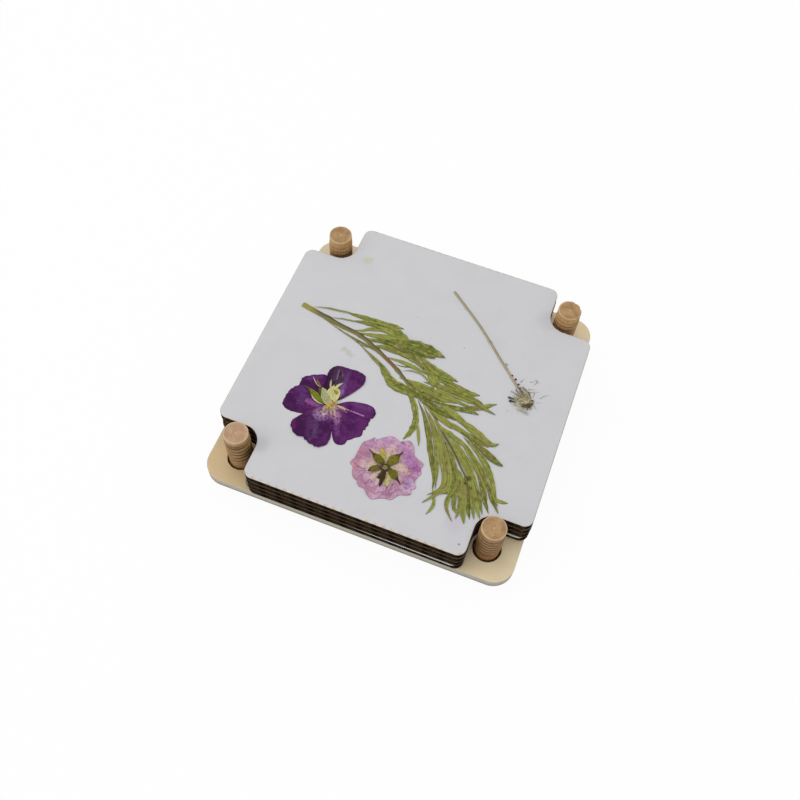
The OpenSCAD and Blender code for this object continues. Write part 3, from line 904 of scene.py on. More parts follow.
class PRESS_OT_bolts(Operator):
    """Turns the four threaded wooden bolts"""
    bl_idname = "press.bolts"
    bl_label = "Bolts"

    def execute(self, context):
        s = context.scene.press_bolts
        for number, (bolt, start) in enumerate(zip(BOLTS, THREAD_STARTS)):
            ragged = 1 if bolt == "bolt_right_rear" else 0.08
            rings, groove = bolt_rings(s, bolt, start, ragged, 11 + number)
            skin = Skin()
            skin.add_rings(rings, groove=groove)
            skin.make("turned_" + bolt, beech(s, bolt, number), bolt, "beech", [bolt], 50)
        return {"FINISHED"}


# Pressed plants

# The least height of a plant's skin above the card
LEAST_LIFT = 0.02*MM


def lifted(flat, z):
    """Flat places with the height z above the card."""
    return np.concatenate([flat, PLANTS_Z + np.broadcast_to(z, flat.shape[:-1])[..., None]], -1)


def sideways(line):
    """The unit normals to the left of a flat line, and the line's length."""
    slope = np.gradient(line, axis=0)
    size = np.hypot(*slope.T)
    return np.stack([-slope[:, 1], slope[:, 0]], -1)/size[:, None], size.sum()


def blade_rings(line, width, wide, lift, thick, arch, seed, steps=30, columns=20):
    """A leaf: its middle line is the curve through the points of line, and its half width
    follows sin(pi t^e)^0.8, widest at the share wide. The section is a thin lens with a groove
    along the middle of its upper face. Returns the rings with the way along and across."""
    t = np.linspace(0.004, 0.996, steps)
    centre = open_curve(line, 4*steps)
    centre = np.stack([np.interp(t, np.linspace(0, 1, 4*steps), column) for column in centre.T], -1)
    normal, run = sideways(centre)
    centre = centre + normal*(0.006*run*ripple(t*4, seed, 1, 4)*t*(1 - t)*4)[:, None]
    half = width/2*np.sin(np.pi*t**(np.log(0.5)/np.log(wide)))**0.8*(1 + 0.14*ripple(t*9, seed + 1, 1, 5))
    t, half = t[:, None], half[:, None]
    turn = full_turn(columns)
    a, up = np.cos(turn), np.sin(turn)
    across = half*a*(1 + 0.05*ripple(t*22 + a*0.7, seed + 2, 1, 6))
    rib = 0.5*thick*np.exp(-(a/0.2)**2)*np.clip(up, 0, 1)*np.clip(half/(0.6*MM), 0, 1)
    z = lift + arch*half*(1 - a**2) + thick*(0.5 + 0.5*up) - rib
    z = z + 0.1*MM*ripple(t*6 + a, seed + 3, 1, 4)*np.sin(np.pi*t)
    flat = centre[:, None] + normal[:, None]*across[..., None]
    return lifted(flat, np.maximum(z, LEAST_LIFT)), t, np.broadcast_to(a, across.shape)


def stem_rings(points, width, height, taper, lift=0.0, joints=(), steps=120, columns=16):
    """A pressed stem: an oval section carried along the curve through points, narrowing to the
    share taper, with fine ridges along it and a knot at each of the shares in joints."""
    centre = open_curve(points, steps)
    normal, _ = sideways(centre)
    t = np.linspace(0, 1, steps)[:, None]
    size = 1 + (taper - 1)*t
    for joint in joints:
        size = size + 0.22*np.exp(-((t - joint)/0.012)**2)
    size = size*np.where((t < 0.004) | (t > 0.996), 0.8, 1)
    turn = full_turn(columns)
    ridge = 1 + 0.07*np.cos(5*turn) + 0.03*ripple(t*40 + turn, 5, 1, 5)
    across = width/2*size*np.cos(turn)*ridge
    flat = centre[:, None] + normal[:, None]*across[..., None]
    rings = lifted(flat, lift + height/2*size*(1 + np.sin(turn)*ridge))
    return rings, t, np.broadcast_to(np.cos(turn), across.shape)


def petal_rings(rim, base, lift, thick, ruffle, seed, folds=(3, 9), steps=26):
    """A petal: P(t, s) = base + t (rim(s) - base), over the upper face from t = 0 to 1 and back
    under the lower one. Its height has folds that run out from the base, so they are ripples
    of the direction, growing with t². Returns the rings with t and the direction."""
    ray = rim - base
    angle = np.arctan2(ray[:, 1], ray[:, 0])
    t = np.linspace(0.03, 1, steps)[:, None]
    fold = ripple(angle, seed, *folds)*0.6 + ripple(angle, seed + 1, 8, 22)*0.4
    swell = ripple(t*3 + angle*0.8, seed + 2, 1, 3)
    lower = lift + ruffle*(0.55*fold*t**2 + 0.35*swell*t*(1 - t)*2 + 0.45*t**2)
    upper = lower + thick*(0.25 + 0.75*np.sqrt(np.clip(1 - t**6, 0, 1)))
    flat = base + t[..., None]*ray
    top, under = (lifted(flat, np.maximum(z, LEAST_LIFT)) for z in (upper, lower))
    along = np.broadcast_to(t, flat.shape[:2])
    along = np.concatenate([along, along[::-1]])
    return np.concatenate([top, under[::-1]]), along, np.broadcast_to(angle, along.shape)


def pod_rings(centre, radii, direction=0.0, lump=0.08, seed=3, steps=14, columns=18):
    """An egg shape: radii along, across and up, turned to direction, with shallow lumps."""
    phi = np.linspace(0.06, np.pi - 0.06, steps)[:, None]
    turn = full_turn(columns)
    swell = np.sin(phi)*(1 + lump*ripple(turn + phi*2, seed, 2, 6))
    x = radii[0]*np.cos(phi)*np.ones_like(turn)
    y = radii[1]*np.cos(turn)*swell
    z = radii[2]*np.sin(turn)*swell
    c, s = np.cos(direction), np.sin(direction)
    flat = np.stack([centre[0] + c*x - s*y, centre[1] + s*x + c*y], -1)
    return lifted(flat, np.maximum(centre[2] + z, LEAST_LIFT))


# Leafy sprig. Places are in mm on the card, from the middle of the board

SPRIG_STEM = [(-76, 22.6), (-70, 21.3), (-60, 19.3), (-50, 17.2), (-40, 15.8), (-34, 14.2), (-25, 10.2),
              (-15, 5.2), (-8, 1.2), (0, -4.2), (8, -9.2), (15, -13.6), (22, -19.5), (30, -27.7),
              (38, -35), (45, -42.5), (51, -49), (56, -56.5)]
# The stem's knots, as shares of its length
SPRIG_JOINTS = (0.13, 0.27, 0.36, 0.47, 0.55, 0.63)
# Leaves: width, widest place as a share of the length, and the middle line
SPRIG_LEAVES = [
    (0.9, 0.6, [(-70, 22.6), (-65, 24.5), (-58, 26), (-50, 27), (-43, 27.4)]),
    (3.5, 0.45, [(-49, 27), (-38, 27.6), (-28, 27.4), (-20, 28.6), (-14.3, 29)]),
    (0.7, 0.6, [(-58, 19.9), (-52, 21.4), (-46, 22.5), (-38, 23.6)]),
    (4.6, 0.6, [(-46, 22.6), (-38, 24.2), (-30, 25.4), (-20, 25.2), (-13, 23.6), (-8, 21.4)]),
    (3, 0.6, [(-43, 16.6), (-37, 18.6), (-33, 21), (-27, 23.6), (-20, 23.6), (-12, 21.6), (-5, 19)]),
    (3.4, 0.55, [(-39, 16.2), (-32, 17.6), (-25, 19), (-17, 20), (-8, 19.4), (3, 17.6)]),
    (1.3, 0.5, [(-37, 15.2), (-31, 14.8), (-25, 16.4), (-18, 18)]),
    (4.4, 0.55, [(-30, 13.2), (-24, 16), (-17, 16.8), (-8, 16.4), (1, 16.6), (9.6, 16.6)]),
    (4.6, 0.5, [(-27, 11.4), (-20, 13), (-12, 13.6), (-5, 12.8), (1, 10.4), (6, 7.4)]),
    (4.8, 0.55, [(-20, 18.6), (-12, 20.4), (-5, 21.2), (2, 21.2), (9, 20.2), (14.4, 19.2)]),
    (3, 0.5, [(-14, 17), (-7, 17.8), (0, 18.8), (6, 18.4), (10.5, 18.4)]),
    (2.1, 0.6, [(-19, 7), (-12, 7.2), (-5, 7.3), (2, 6.4), (9, 5.4)]),
    (4.2, 0.55, [(-4, 15.6), (2, 14), (8, 10.6), (14, 8.6), (20, 8), (26.6, 7)]),
    (3.6, 0.5, [(3, 15), (8, 11), (12, 7), (15, 2.4), (18, -1), (21, -5)]),
    (3.6, 0.55, [(0, 6.4), (8, 5.8), (16, 5), (24, 4), (32, 2.9), (37, 2.8), (41, 3.4)]),
    (3, 0.5, [(0, 12), (5, 9), (10, 5.6), (13, 1), (16, -4)]),
    (0.9, 0.6, [(-6, 1.4), (-3, 3.1), (2, 4.2), (6, 3.8), (10, 1.6), (13, -1)]),
    (0.9, 0.6, [(-12, 4.4), (-7, 4.8), (-2, 6), (4, 6.6)]),
    (3.4, 0.5, [(8, -0.5), (15, 0.4), (22, 0.4), (30, 0), (37, -0.8), (42, -2), (46, -3.8), (53, -5.3)]),
    (2.6, 0.6, [(20, -3.6), (29, -4.6), (36, -6), (41, -5.2), (45, -3), (48, -0.4), (51.6, 1.7)]),
    (2.6, 0.6, [(14, -3), (22, -2.2), (30, -2.2), (36, -2.4), (42, -3)]),
    (3, 0.5, [(-6, -2.4), (2, -3), (10, -3.2), (18, -4.4), (27, -4.8), (35, -6.4)]),
    (3.4, 0.5, [(-2, -4), (7, -5.4), (16, -6.4), (24, -6.6), (31, -6)]),
    (3.4, 0.5, [(1, -6), (10, -7.6), (18, -8.8), (26, -10)]),
    (2.6, 0.6, [(17, -9), (25, -9.6), (33, -9), (39, -8.4), (44.2, -8.7)]),
    (0.8, 0.5, [(-60, 18), (-50, 14.6), (-41, 12), (-34, 9.6), (-28, 9)]),
    (1, 0.6, [(-52, 15.2), (-42, 12.6), (-34, 11), (-27, 9.4), (-22, 8)]),
    (2.2, 0.7, [(-37, 10.6), (-32, 8), (-26, 4.8), (-20, 1.8), (-14, -1.6), (-9, -5)]),
    (5.2, 0.5, [(-18, -0.4), (-12, -5.2), (-6, -8.2), (2, -9.6), (10, -11.4)]),
    (3.2, 0.5, [(-12, -6), (-5, -7.2), (2, -8), (9, -10.4), (14, -14)]),
    (3.2, 0.6, [(4, -9.4), (9, -16), (12, -22.6), (13, -28.4), (12.2, -33.6), (10.2, -38.6)]),
    (3, 0.5, [(0, -9), (5, -12), (9, -17), (12, -23), (12.8, -27)]),
    (1.5, 0.5, [(12.4, -24), (15.4, -29), (17.8, -34.4), (19.6, -39.4)]),
    (4, 0.5, [(4, -7), (12, -10.6), (20, -13.6), (28, -15.2), (35, -16.4)]),
    (3.6, 0.5, [(16, -7.6), (24, -10.4), (31, -13.6), (38, -16.6), (45, -19)]),
    (3.6, 0.5, [(27, -13), (34, -15.4), (41, -17.8), (48, -20.6), (54, -23.2), (57.4, -23.4),
         (60, -21.5)]),
    (2, 0.5, [(38, -20.6), (45, -22.8), (51, -24.8), (55.6, -25.6)]),
    (2.8, 0.5, [(18, -15.6), (26, -18.4), (34, -20.8), (42, -22.8), (50, -26)]),
    (3.4, 0.6, [(36, -21.6), (44, -24.4), (51, -27.6), (57, -30.6), (62, -32.6), (66.2, -33.7)]),
    (2.8, 0.5, [(12, -12.4), (20, -16.4), (28, -20), (33, -22.6)]),
    (2.8, 0.5, [(20, -18.4), (27, -24), (34, -26.4), (42, -29), (50, -33.4)]),
    (3.2, 0.5, [(40, -24.4), (47, -28.6), (53, -32.8), (58, -37), (62, -42), (65.4, -47.4), (68.6, -53)]),
    (2.8, 0.5, [(42, -28), (50, -34.4), (56, -40), (61, -46), (65, -51.6), (67.4, -56)]),
    (2.8, 0.5, [(36, -25.6), (44, -31), (51, -37.6), (57, -44.4), (62, -52), (64.6, -57)]),
    (2.6, 0.5, [(32, -25.4), (40, -31.8), (48, -39), (54, -46.4), (59, -54)]),
    (2.4, 0.5, [(28, -24.4), (35, -30.4), (42, -36.4), (49, -43.8), (54, -51.4), (58, -59)]),
    (3.2, 0.5, [(9, -12), (15, -19), (19.2, -25.6), (23, -32), (26.4, -39), (30, -46), (33.6, -53.4),
         (35.4, -61)]),
    (2.6, 0.5, [(13, -14), (20, -22), (25.4, -30), (29.4, -38), (32.6, -46), (34.8, -53), (36.4, -60)]),
    (2.6, 0.5, [(17, -17), (24, -25), (29.6, -33), (33.6, -41), (37.4, -49), (39.4, -55.4), (38, -60),
         (33.4, -64.8)]),
    (2.6, 0.5, [(23, -21.6), (30, -30.6), (35.4, -38.6), (39.8, -46.6), (42, -53), (42, -58),
         (38.6, -61.8), (35.6, -65.6), (32.3, -70)]),
    (1.7, 0.6, [(34, -58), (36.4, -62.4), (38.4, -67), (38.2, -71), (36.6, -75.2)]),
    (2.6, 0.5, [(28, -27), (35, -35.6), (40.4, -43.6), (44, -50.6), (46, -56.4), (43.4, -59.4),
         (39, -60.8)]),
    (2.8, 0.5, [(32, -31), (38.6, -38.8), (44, -46.6), (48, -54), (50, -60)]),
    (2.2, 0.5, [(38, -37), (43, -45), (46.4, -52.6), (46, -58.4), (44.4, -62), (45.4, -67), (48, -70.8),
         (51, -73.8)]),
    (2.4, 0.5, [(41, -41), (46, -48.6), (48.4, -55), (47.6, -60), (48.6, -65), (50.4, -67.4),
         (52.6, -68)]),
    (2.2, 0.5, [(40, -49), (43.6, -55), (46.6, -59.4), (49.6, -63.2)]),
    (2.6, 0.5, [(45, -44), (49.4, -53), (51.2, -61), (52, -67), (51.9, -71.8)]),
    (2.8, 0.5, [(46, -45), (51, -54), (53.6, -63), (55.4, -69), (57, -72.8)]),
    (2.7, 0.5, [(48, -46), (53, -55), (56.2, -63), (59, -69.2)]),
    (2.2, 0.5, [(50, -46), (55, -55), (58.6, -63), (61.3, -68.6)]),
    (2.3, 0.5, [(51, -44), (56.6, -54), (60.6, -61.6), (64, -67.2)]),
    (2.4, 0.5, [(52, -43), (57, -51), (61, -58), (64.4, -64.2)]),
    (2.4, 0.5, [(54, -42), (59.4, -50), (63.6, -57), (67.3, -62.6)]),
    (2.2, 0.5, [(57, -42), (62, -48), (66, -53.5), (69, -57), (72.1, -60.7)]),
    (2, 0.5, [(59, -45), (64, -50.6), (67.6, -54.4), (70.4, -56.4)]),
    (2.1, 0.6, [(61, -44), (65.4, -50), (68.6, -53.4), (72, -53.5), (75.1, -53)]),
    (2.4, 0.5, [(36, -44), (40, -50), (42.6, -56), (44, -60.4)]),
    (2.4, 0.5, [(33, -36), (37, -43), (40.6, -49), (44, -55.6)]),
]
# Blotches on the leaves: place in mm on the card, radius, colour and amount
LEAF_MARKS = [
    (51.2, -47.4, 1.5, (62, 58, 34), 0.8),
    (50.2, -50.8, 0.8, (52, 48, 24), 0.8),
    (53.8, -52.4, 0.9, (66, 60, 32), 0.7),
    (58.6, -57.5, 1.2, (82, 78, 46), 0.6),
    (63.6, -51.8, 1.2, (122, 112, 84), 0.85),
    (43, -42, 1.2, (72, 66, 36), 0.5),
    (20, -4.8, 1, (74, 78, 36), 0.6),
    (14, -2.6, 1.2, (86, 78, 48), 0.5),
]
# How much wider a leaf is than its row says: any leaf, and one that ends in the tuft at the
# sprig's tip, which lies below this place in mm
LEAF_GAIN = 1.15
TIP_GAIN = 1.05
TIPS_BELOW = -45


def leaf_green(s):
    """Dried leaf: uneven green with browned patches, a dark midrib, a paler margin, painted shade
    along one side, darker tips, and the marks of single leaves."""
    p = Paint("dried_leaf", 0.7, 0.1)
    along, across, tone = p.held("along", "across", "tone")
    streaks = p.noise((4, 4.5, 9), 4, 0.65, p.triple(along, across, tone))
    blotch = p.noise(420, 4, 0.62)
    patches = p.noise(130, 3, 0.6)
    green = p.mix((streaks*0.7 + blotch*0.6 + tone*0.24 - 0.24).rise(0.34, 0.62), s.dark, s.green)
    green = p.layers(green, (streaks.fall(0.38, 0.46)*0.6, dim(s.dark, 0.55)),
                     (patches.rise(0.5, 0.66)*0.5, s.brown),
                     ((blotch*0.5 + streaks*0.6).rise(0.6, 0.7)*0.7, s.pale),
                     (abs(across).fall(0.02, 0.14)*0.35, s.dark),
                     (abs(across).rise(0.7, 1.0)*(0.2 + tone*0.4), s.pale),
                     # Painted shade: a dark line along each leaf's right side, its shadow side
                     (across.fall(-0.97, -0.6)*0.6, dim(s.dark, 0.6)),
                     (along.rise(0.9, 1.0)*0.7, dim(s.dark, 0.5)))
    return p.finish(p.washes(green, LEAF_MARKS), None, streaks*0.6 + blotch*0.5, 0.14*MM)


def stem_paint(name, light, dark, end, start, stop, marks=()):
    """Dried stem: streaks along it between two shades, darker on its left side, with another
    colour between the shares start and stop of its length."""
    p = Paint(name, 0.6)
    along, across = p.held("along", "across")
    streaks = p.noise((22, 3, 1), 4, 0.65, p.triple(along, across, 0.0))
    base = p.mix((streaks - across*0.22).rise(0.34, 0.62), dark, light)
    base = p.mix(along.rise(start - 0.04, start)*along.fall(stop, stop + 0.05), base, end)
    return p.finish(p.washes(base, marks), None, streaks, 0.1*MM)


class PRESS_OT_sprig(Operator):
    """Lays the leafy sprig on the top card"""
    bl_idname = "press.sprig"
    bl_label = "Leafy sprig"

    def execute(self, context):
        s = context.scene.press_sprig
        rng = np.random.default_rng(4)
        leaves = Skin()
        for number, (width, wide, line) in enumerate(SPRIG_LEAVES):
            lift = rng.uniform(0.02, 0.75)*MM
            gain = LEAF_GAIN if line[-1][1] > TIPS_BELOW else TIP_GAIN
            rings, along, across = blade_rings(np.array(line)*MM, width*gain*MM, wide, lift, s.leaf,
                                               arch=rng.uniform(0.02, 0.09), seed=50 + 4*number)
            leaves.add_rings(rings, along=along, across=across, tone=rng.uniform(0, 1))
        leaves.make("sprig_blades", leaf_green(s), "sprig", "dried_leaf", ["sprig_leaves"])
        stem = Skin()
        rings, along, across = stem_rings(np.array(SPRIG_STEM)*MM, s.stem_width, s.stem_height,
                                          taper=0.25, joints=SPRIG_JOINTS)
        stem.add_rings(rings, along=along, across=across)
        brown = stem_paint("dried_stem", s.stem, dim(s.stem, 0.4), s.foot, start=0.0, stop=0.05,
                           marks=[(-14, 5, 6, (124, 84, 60), 0.7)])
        stem.make("sprig_stalk", brown, "sprig", "dried_stem", ["sprig_stem"])
        return {"FINISHED"}


# Pink flower, seen from behind. Places are in mm on the card

PINK_AT = np.array([0.065, -0.464])
PINK_RIM = [(-4.3, -43.2), (-3, -44), (-0.5, -42), (2.5, -39.7), (5.5, -39), (9, -40.2), (11, -39.5),
            (14.5, -38), (17, -40), (18.5, -42.5), (19.5, -45), (22, -46.5), (25.8, -48.5),
            (25.5, -51.5), (26.8, -54.5), (25.2, -58), (25, -60), (26.7, -63), (25, -65),
            (25.3, -67.5), (22.5, -69), (20, -70), (17, -74), (14, -74.5), (11, -75.5), (7.2, -77.7),
            (4, -76.2), (2, -74.2), (0.5, -73.3), (-1.5, -73.5), (-3.5, -72), (-4, -70.5),
            (-6.5, -69.5), (-8.3, -66.5), (-9, -64), (-11.3, -62), (-10, -58.5), (-9.8, -54.5),
            (-9.5, -50), (-9, -48), (-6.5, -45.8)]
# Petals: middle direction and half spread in degrees, reach and layer
PINK_PETALS = [(8, 42, 1.0, 0), (62, 38, 0.99, 1), (112, 40, 1.0, 0), (160, 38, 1.0, 1),
               (205, 34, 1.0, 0), (248, 38, 0.99, 1), (292, 34, 1.0, 0), (332, 32, 1.0, 1),
               (38, 22, 0.84, 2), (88, 20, 0.8, 2), (138, 24, 0.82, 2), (186, 20, 0.84, 2),
               (228, 22, 0.8, 2), (270, 22, 0.83, 2), (314, 22, 0.84, 2), (352, 18, 0.78, 2),
               (20, 21, 0.64, 3), (66, 21, 0.62, 3), (110, 20, 0.65, 3), (155, 21, 0.63, 3),
               (205, 22, 0.62, 3), (250, 20, 0.66, 3), (295, 21, 0.63, 3), (335, 20, 0.64, 3)]
# Sepals and lobes: middle line, width, widest place, colour, colour of the tip
PINK_SEPALS = [
    ([(7.8, -57.6), (9.8, -53), (12, -48.3)], 5.2, 0.55, (122, 116, 36), (84, 66, 28)),
    ([(11.5, -49.5), (13.6, -45.5)], 0.9, 0.4, (96, 76, 34), (96, 66, 40)),
    ([(6.6, -57), (2.4, -55), (-1.8, -53)], 4.4, 0.5, (110, 104, 38), (64, 50, 30)),
    ([(-0.5, -53.5), (-3, -52.2), (-5, -51.3)], 0.7, 0.3, (60, 46, 34), (52, 40, 34)),
    ([(5.6, -58.4), (2.2, -61), (-0.4, -63.6)], 3.4, 0.5, (112, 104, 46), (92, 74, 40)),
    ([(8.2, -59.6), (8.4, -65), (8.6, -70)], 2.6, 0.45, (66, 50, 30), (60, 44, 30)),
    ([(9, -58), (13, -60.4), (16.4, -62.8)], 4.2, 0.5, (110, 106, 36), (72, 52, 28)),
    ([(15, -61.8), (17, -63.3), (18.7, -64.5)], 1.0, 0.3, (70, 48, 30), (80, 50, 36)),
]
PINK_LOBES = [
    ([(6, -55), (3.6, -51.6), (1.5, -48)], 3.5, 0.55, (180, 170, 84), (196, 184, 110)),
    ([(11, -60), (11.6, -64.5), (12, -68.5)], 3.0, 0.55, (194, 186, 116), (206, 192, 140)),
    ([(4.8, -61.5), (4.9, -65)], 1.6, 0.5, (216, 184, 150), (216, 184, 150)),
]
# The stalk's scar: its middle and the line of the broken stub from the flower's middle, the radius
# and height of its profile, and the radius that counts as its rim, in mm
SCAR_AT = (-0.5, -0.9)
STUB = [(-0.6, -2.5), (-1.2, -5), (-1.9, -8)]
SCAR_PROFILE = [(0.2, 1.9), (0.9, 1.9), (1.3, 1.8), (1.6, 1.8), (2.1, 1.85), (2.45, 1.7),
                (2.55, 1.4), (2.4, 1.2), (1.3, 1.1), (0.2, 1.1)]
SCAR_RIM = 2.85
# Streaks and spots of the petals
PINK_MARKS = [
    (7.5, -57.5, 7.6, (218, 204, 154), 0.85),
    (((-3, -60.5), (4, -60)), 2.0, (216, 192, 172), 0.7),
    (((11, -54.5), (19, -55)), 2.0, (216, 192, 172), 0.7),
    (((7, -46), (8, -51)), 2.2, (216, 192, 172), 0.7),
    (((4, -66), (8, -66)), 1.8, (216, 192, 172), 0.7),
    (((-2, -51), (2, -52)), 1.2, (216, 192, 172), 0.7), (20, -57, 1.2, (200, 166, 126), 0.8),
    (((-8.5, -52), (-7.5, -58)), 1.6, (182, 126, 144), 0.6),
    (((-8, -61), (-7, -64.5)), 1.2, (196, 132, 132), 0.7),
    (((-7, -65.2), (0, -63.2)), 0.35, (146, 100, 124), 0.7),
    (((-5, -67), (-1, -73)), 2.4, (186, 142, 160), 0.6),
    (((1, -70.5), (4, -74)), 0.9, (152, 90, 128), 0.6),
    (((5, -73), (12, -75)), 2.0, (194, 150, 170), 0.6),
    (((14.6, -66), (14.4, -71)), 0.5, (140, 92, 134), 0.7),
    (((12, -72.5), (16, -71.5)), 0.8, (150, 92, 136), 0.6),
    (((22, -60), (22, -64)), 2.0, (168, 142, 192), 0.6),
    (((21, -64.8), (22.4, -65.4)), 0.35, (120, 78, 118), 0.7),
    (((17, -48), (22, -52)), 3.0, (164, 108, 170), 0.7),
    (((22, -53.5), (25, -52)), 1.2, (162, 82, 150), 0.7),
    (((19.5, -58.6), (24, -58)), 1.0, (164, 96, 150), 0.6),
    (((11, -42.5), (16, -44.5)), 2.2, (172, 122, 168), 0.6),
    (((11, -40.8), (12.6, -41)), 0.6, (130, 76, 124), 0.7),
    (((2, -43), (5, -42)), 2.0, (172, 118, 174), 0.6),
    (((-5, -45.5), (-2, -47)), 0.5, (150, 100, 146), 0.6),
    (((-7, -47.5), (-3, -48.5)), 1.2, (196, 146, 190), 0.6),
    (((19, -40.5), (19.6, -45)), 0.4, (140, 88, 136), 0.5),
    (((25.2, -58.3), (24.8, -60.2)), 0.4, (140, 92, 134), 0.6),
]


def pink_petal_paint(s):
    """Dried pink petal: mottled between pale and deep pink, darker creases that run outwards,
    a thin darker rim, and the streaks of single petals."""
    p = Paint("pink_petal", 0.7, 0.08)
    along, around, tone = p.held("along", "around", "tone")
    mottle = p.noise(300, 5, 0.65)
    broad = p.noise(85, 3, 0.55)
    crease = p.noise((1.0, 12, 5), 4, 0.6, p.triple(along, around, tone))
    petal = p.mix((mottle*0.5 + broad*0.6).rise(0.44, 0.68), s.body, s.pale)
    petal = p.layers(petal, ((crease*0.7 + broad*0.3).fall(0.36, 0.5)*0.5, s.deep),
                     (crease.rise(0.58, 0.74)*0.35, s.glow))
    petal = p.layers(p.washes(petal, PINK_MARKS), (mottle.fall(0.38, 0.47)*0.35, s.deep),
                     (p.noise(1100, 4, 0.65).fall(0.36, 0.46)*0.35, s.deep),
                     (along.rise(0.96, 1.0)*0.45, s.deep))
    return p.finish(petal, None, crease*0.8 + mottle*0.5, 0.6*MM)


def sepal_paint(name, foot=0.0):
    """Dried sepal in the tint that its points hold, with darker streaks along it, and as much
    darker at its foot as foot says."""
    p = Paint(name, 0.7, 0.1)
    along, across = p.held("along", "across")
    streaks = p.noise((5, 3, 1), 4, 0.6, p.triple(along, across, 0.0))
    speckle = p.noise(800, 4, 0.65)
    tint = p.point_tint()
    shade = p.scaled(tint, 0.5)
    base = p.mix((streaks*0.6 + speckle*0.5).rise(0.4, 0.62), shade, tint)
    base = p.layers(base, (abs(across).rise(0.75, 1.0)*0.35, shade),
                    (along.fall(0.02, 0.4)*foot, linear((70, 50, 22))))
    return p.finish(base, None, streaks, 0.12*MM)


def blades(skin, rows, lift, thick, arch, seed):
    """Adds sepals to a skin. A row is a middle line and a width in millimetres, the widest
    place, the colour and the colour of the tip."""
    for number, (line, width, wide, body, tip) in enumerate(rows):
        rings, along, across = blade_rings(np.array(line)*MM, width*MM, wide, lift, thick, arch,
                                           seed + number)
        turned = soft_step(along, 0.7, 0.95)
        tint = {key: value + (tinted(tip)[key] - value)*turned for key, value in tinted(body).items()}
        skin.add_rings(rings, along=along, across=across, **tint)


class PRESS_OT_pink_flower(Operator):
    """Lays the pink double flower face down on the top card"""
    bl_idname = "press.pink_flower"
    bl_label = "Pink flower"

    def execute(self, context):
        s = context.scene.press_pink
        centre = PINK_AT*context.scene.press_sprig.span
        rim = closed_curve(np.array(PINK_RIM)*MM - centre, 8)
        angle = np.arctan2(rim[:, 1], rim[:, 0])
        order = np.argsort(angle)
        angle, reach = angle[order], np.hypot(*rim[order].T)
        petals = Skin()
        for number, (direction, spread, size, layer) in enumerate(PINK_PETALS):
            off = np.linspace(-1, 1, 61)
            now = np.radians(direction + off*spread)
            radius = size*np.interp(now, angle, reach, period=FULL_TURN)*(1 - np.abs(off)**9)**0.4
            if layer > 1:
                radius = radius*(1 - 0.02*(1 + ripple(now*4, 90 + number, 2, 6)))
            edge = centre + np.maximum(radius, 1*MM)[:, None]*heading(now)
            base = centre + 1.5*MM*heading(np.radians(direction))
            rings, along, around = petal_rings(edge, base, (0.02 + 0.2*layer)*MM, s.petal, s.ruffle,
                                               seed=120 + 3*number, folds=(6, 14))
            petals.add_rings(rings, along=along, around=around, tone=number/len(PINK_PETALS))
        petals.make("pink_petals", pink_petal_paint(s), "pink_flower", "pink_petal",
                    ["pink_flower_petals"])
        calyx, lobes = Skin(), Skin()
        blades(calyx, PINK_SEPALS, lift=1.5*MM, thick=0.35*MM, arch=0.12, seed=200)
        calyx.make("pink_sepals", sepal_paint("green_sepal", foot=0.65), "pink_flower", "green_sepal",
                   ["pink_flower_calyx"])
        blades(lobes, PINK_LOBES, lift=1.0*MM, thick=0.25*MM, arch=0.1, seed=220)
        lobes.make("pink_lobes", sepal_paint("yellow_lobe"), "pink_flower", "green_sepal")
        ring = Skin()
        turn = full_turn(40)
        radius, height = np.array(SCAR_PROFILE).T[..., None]*MM
        wavy = radius*(1 + 0.16*ripple(turn, 31, 2, 7))
        flat = centre + np.array(SCAR_AT)*MM + wavy[..., None]*heading(turn)
        ring.add_rings(lifted(flat, height), along=np.clip(radius/(SCAR_RIM*MM), 0, 1), across=0.0)
        stub, along, across = stem_rings(centre + np.array(STUB)*MM, width=1.9*MM, height=1.1*MM,
                                         taper=0.8, lift=1.0*MM, steps=24)
        ring.add_rings(stub, along=0.6 + 0.1*along, across=across)
        ring.make("pink_stalk_scar", scar_paint(s), "pink_flower", "green_sepal")
        return {"FINISHED"}


def scar_paint(s):
    """The stalk's scar: green in the middle, with a dark brown ring round it."""
    p = Paint("stalk_scar", 0.6)
    along, = p.held("along")
    rough = p.noise(900, 4, 0.6)
    base = p.mix((along + rough*0.25).rise(0.5, 0.7), linear((122, 116, 60)), s.brown)
    base = p.mix(rough.rise(0.5, 0.8)*0.4, base, linear((96, 80, 58)))
    return p.finish(base, None, rough, 0.15*MM)


# Purple flower, beside the pink one. Places are shares of its width, from its own centre

# The direction from the pink flower, in degrees, and the gap between the two
PURPLE_DIRECTION = 149.8
FLOWER_GAP = 4.4*MM
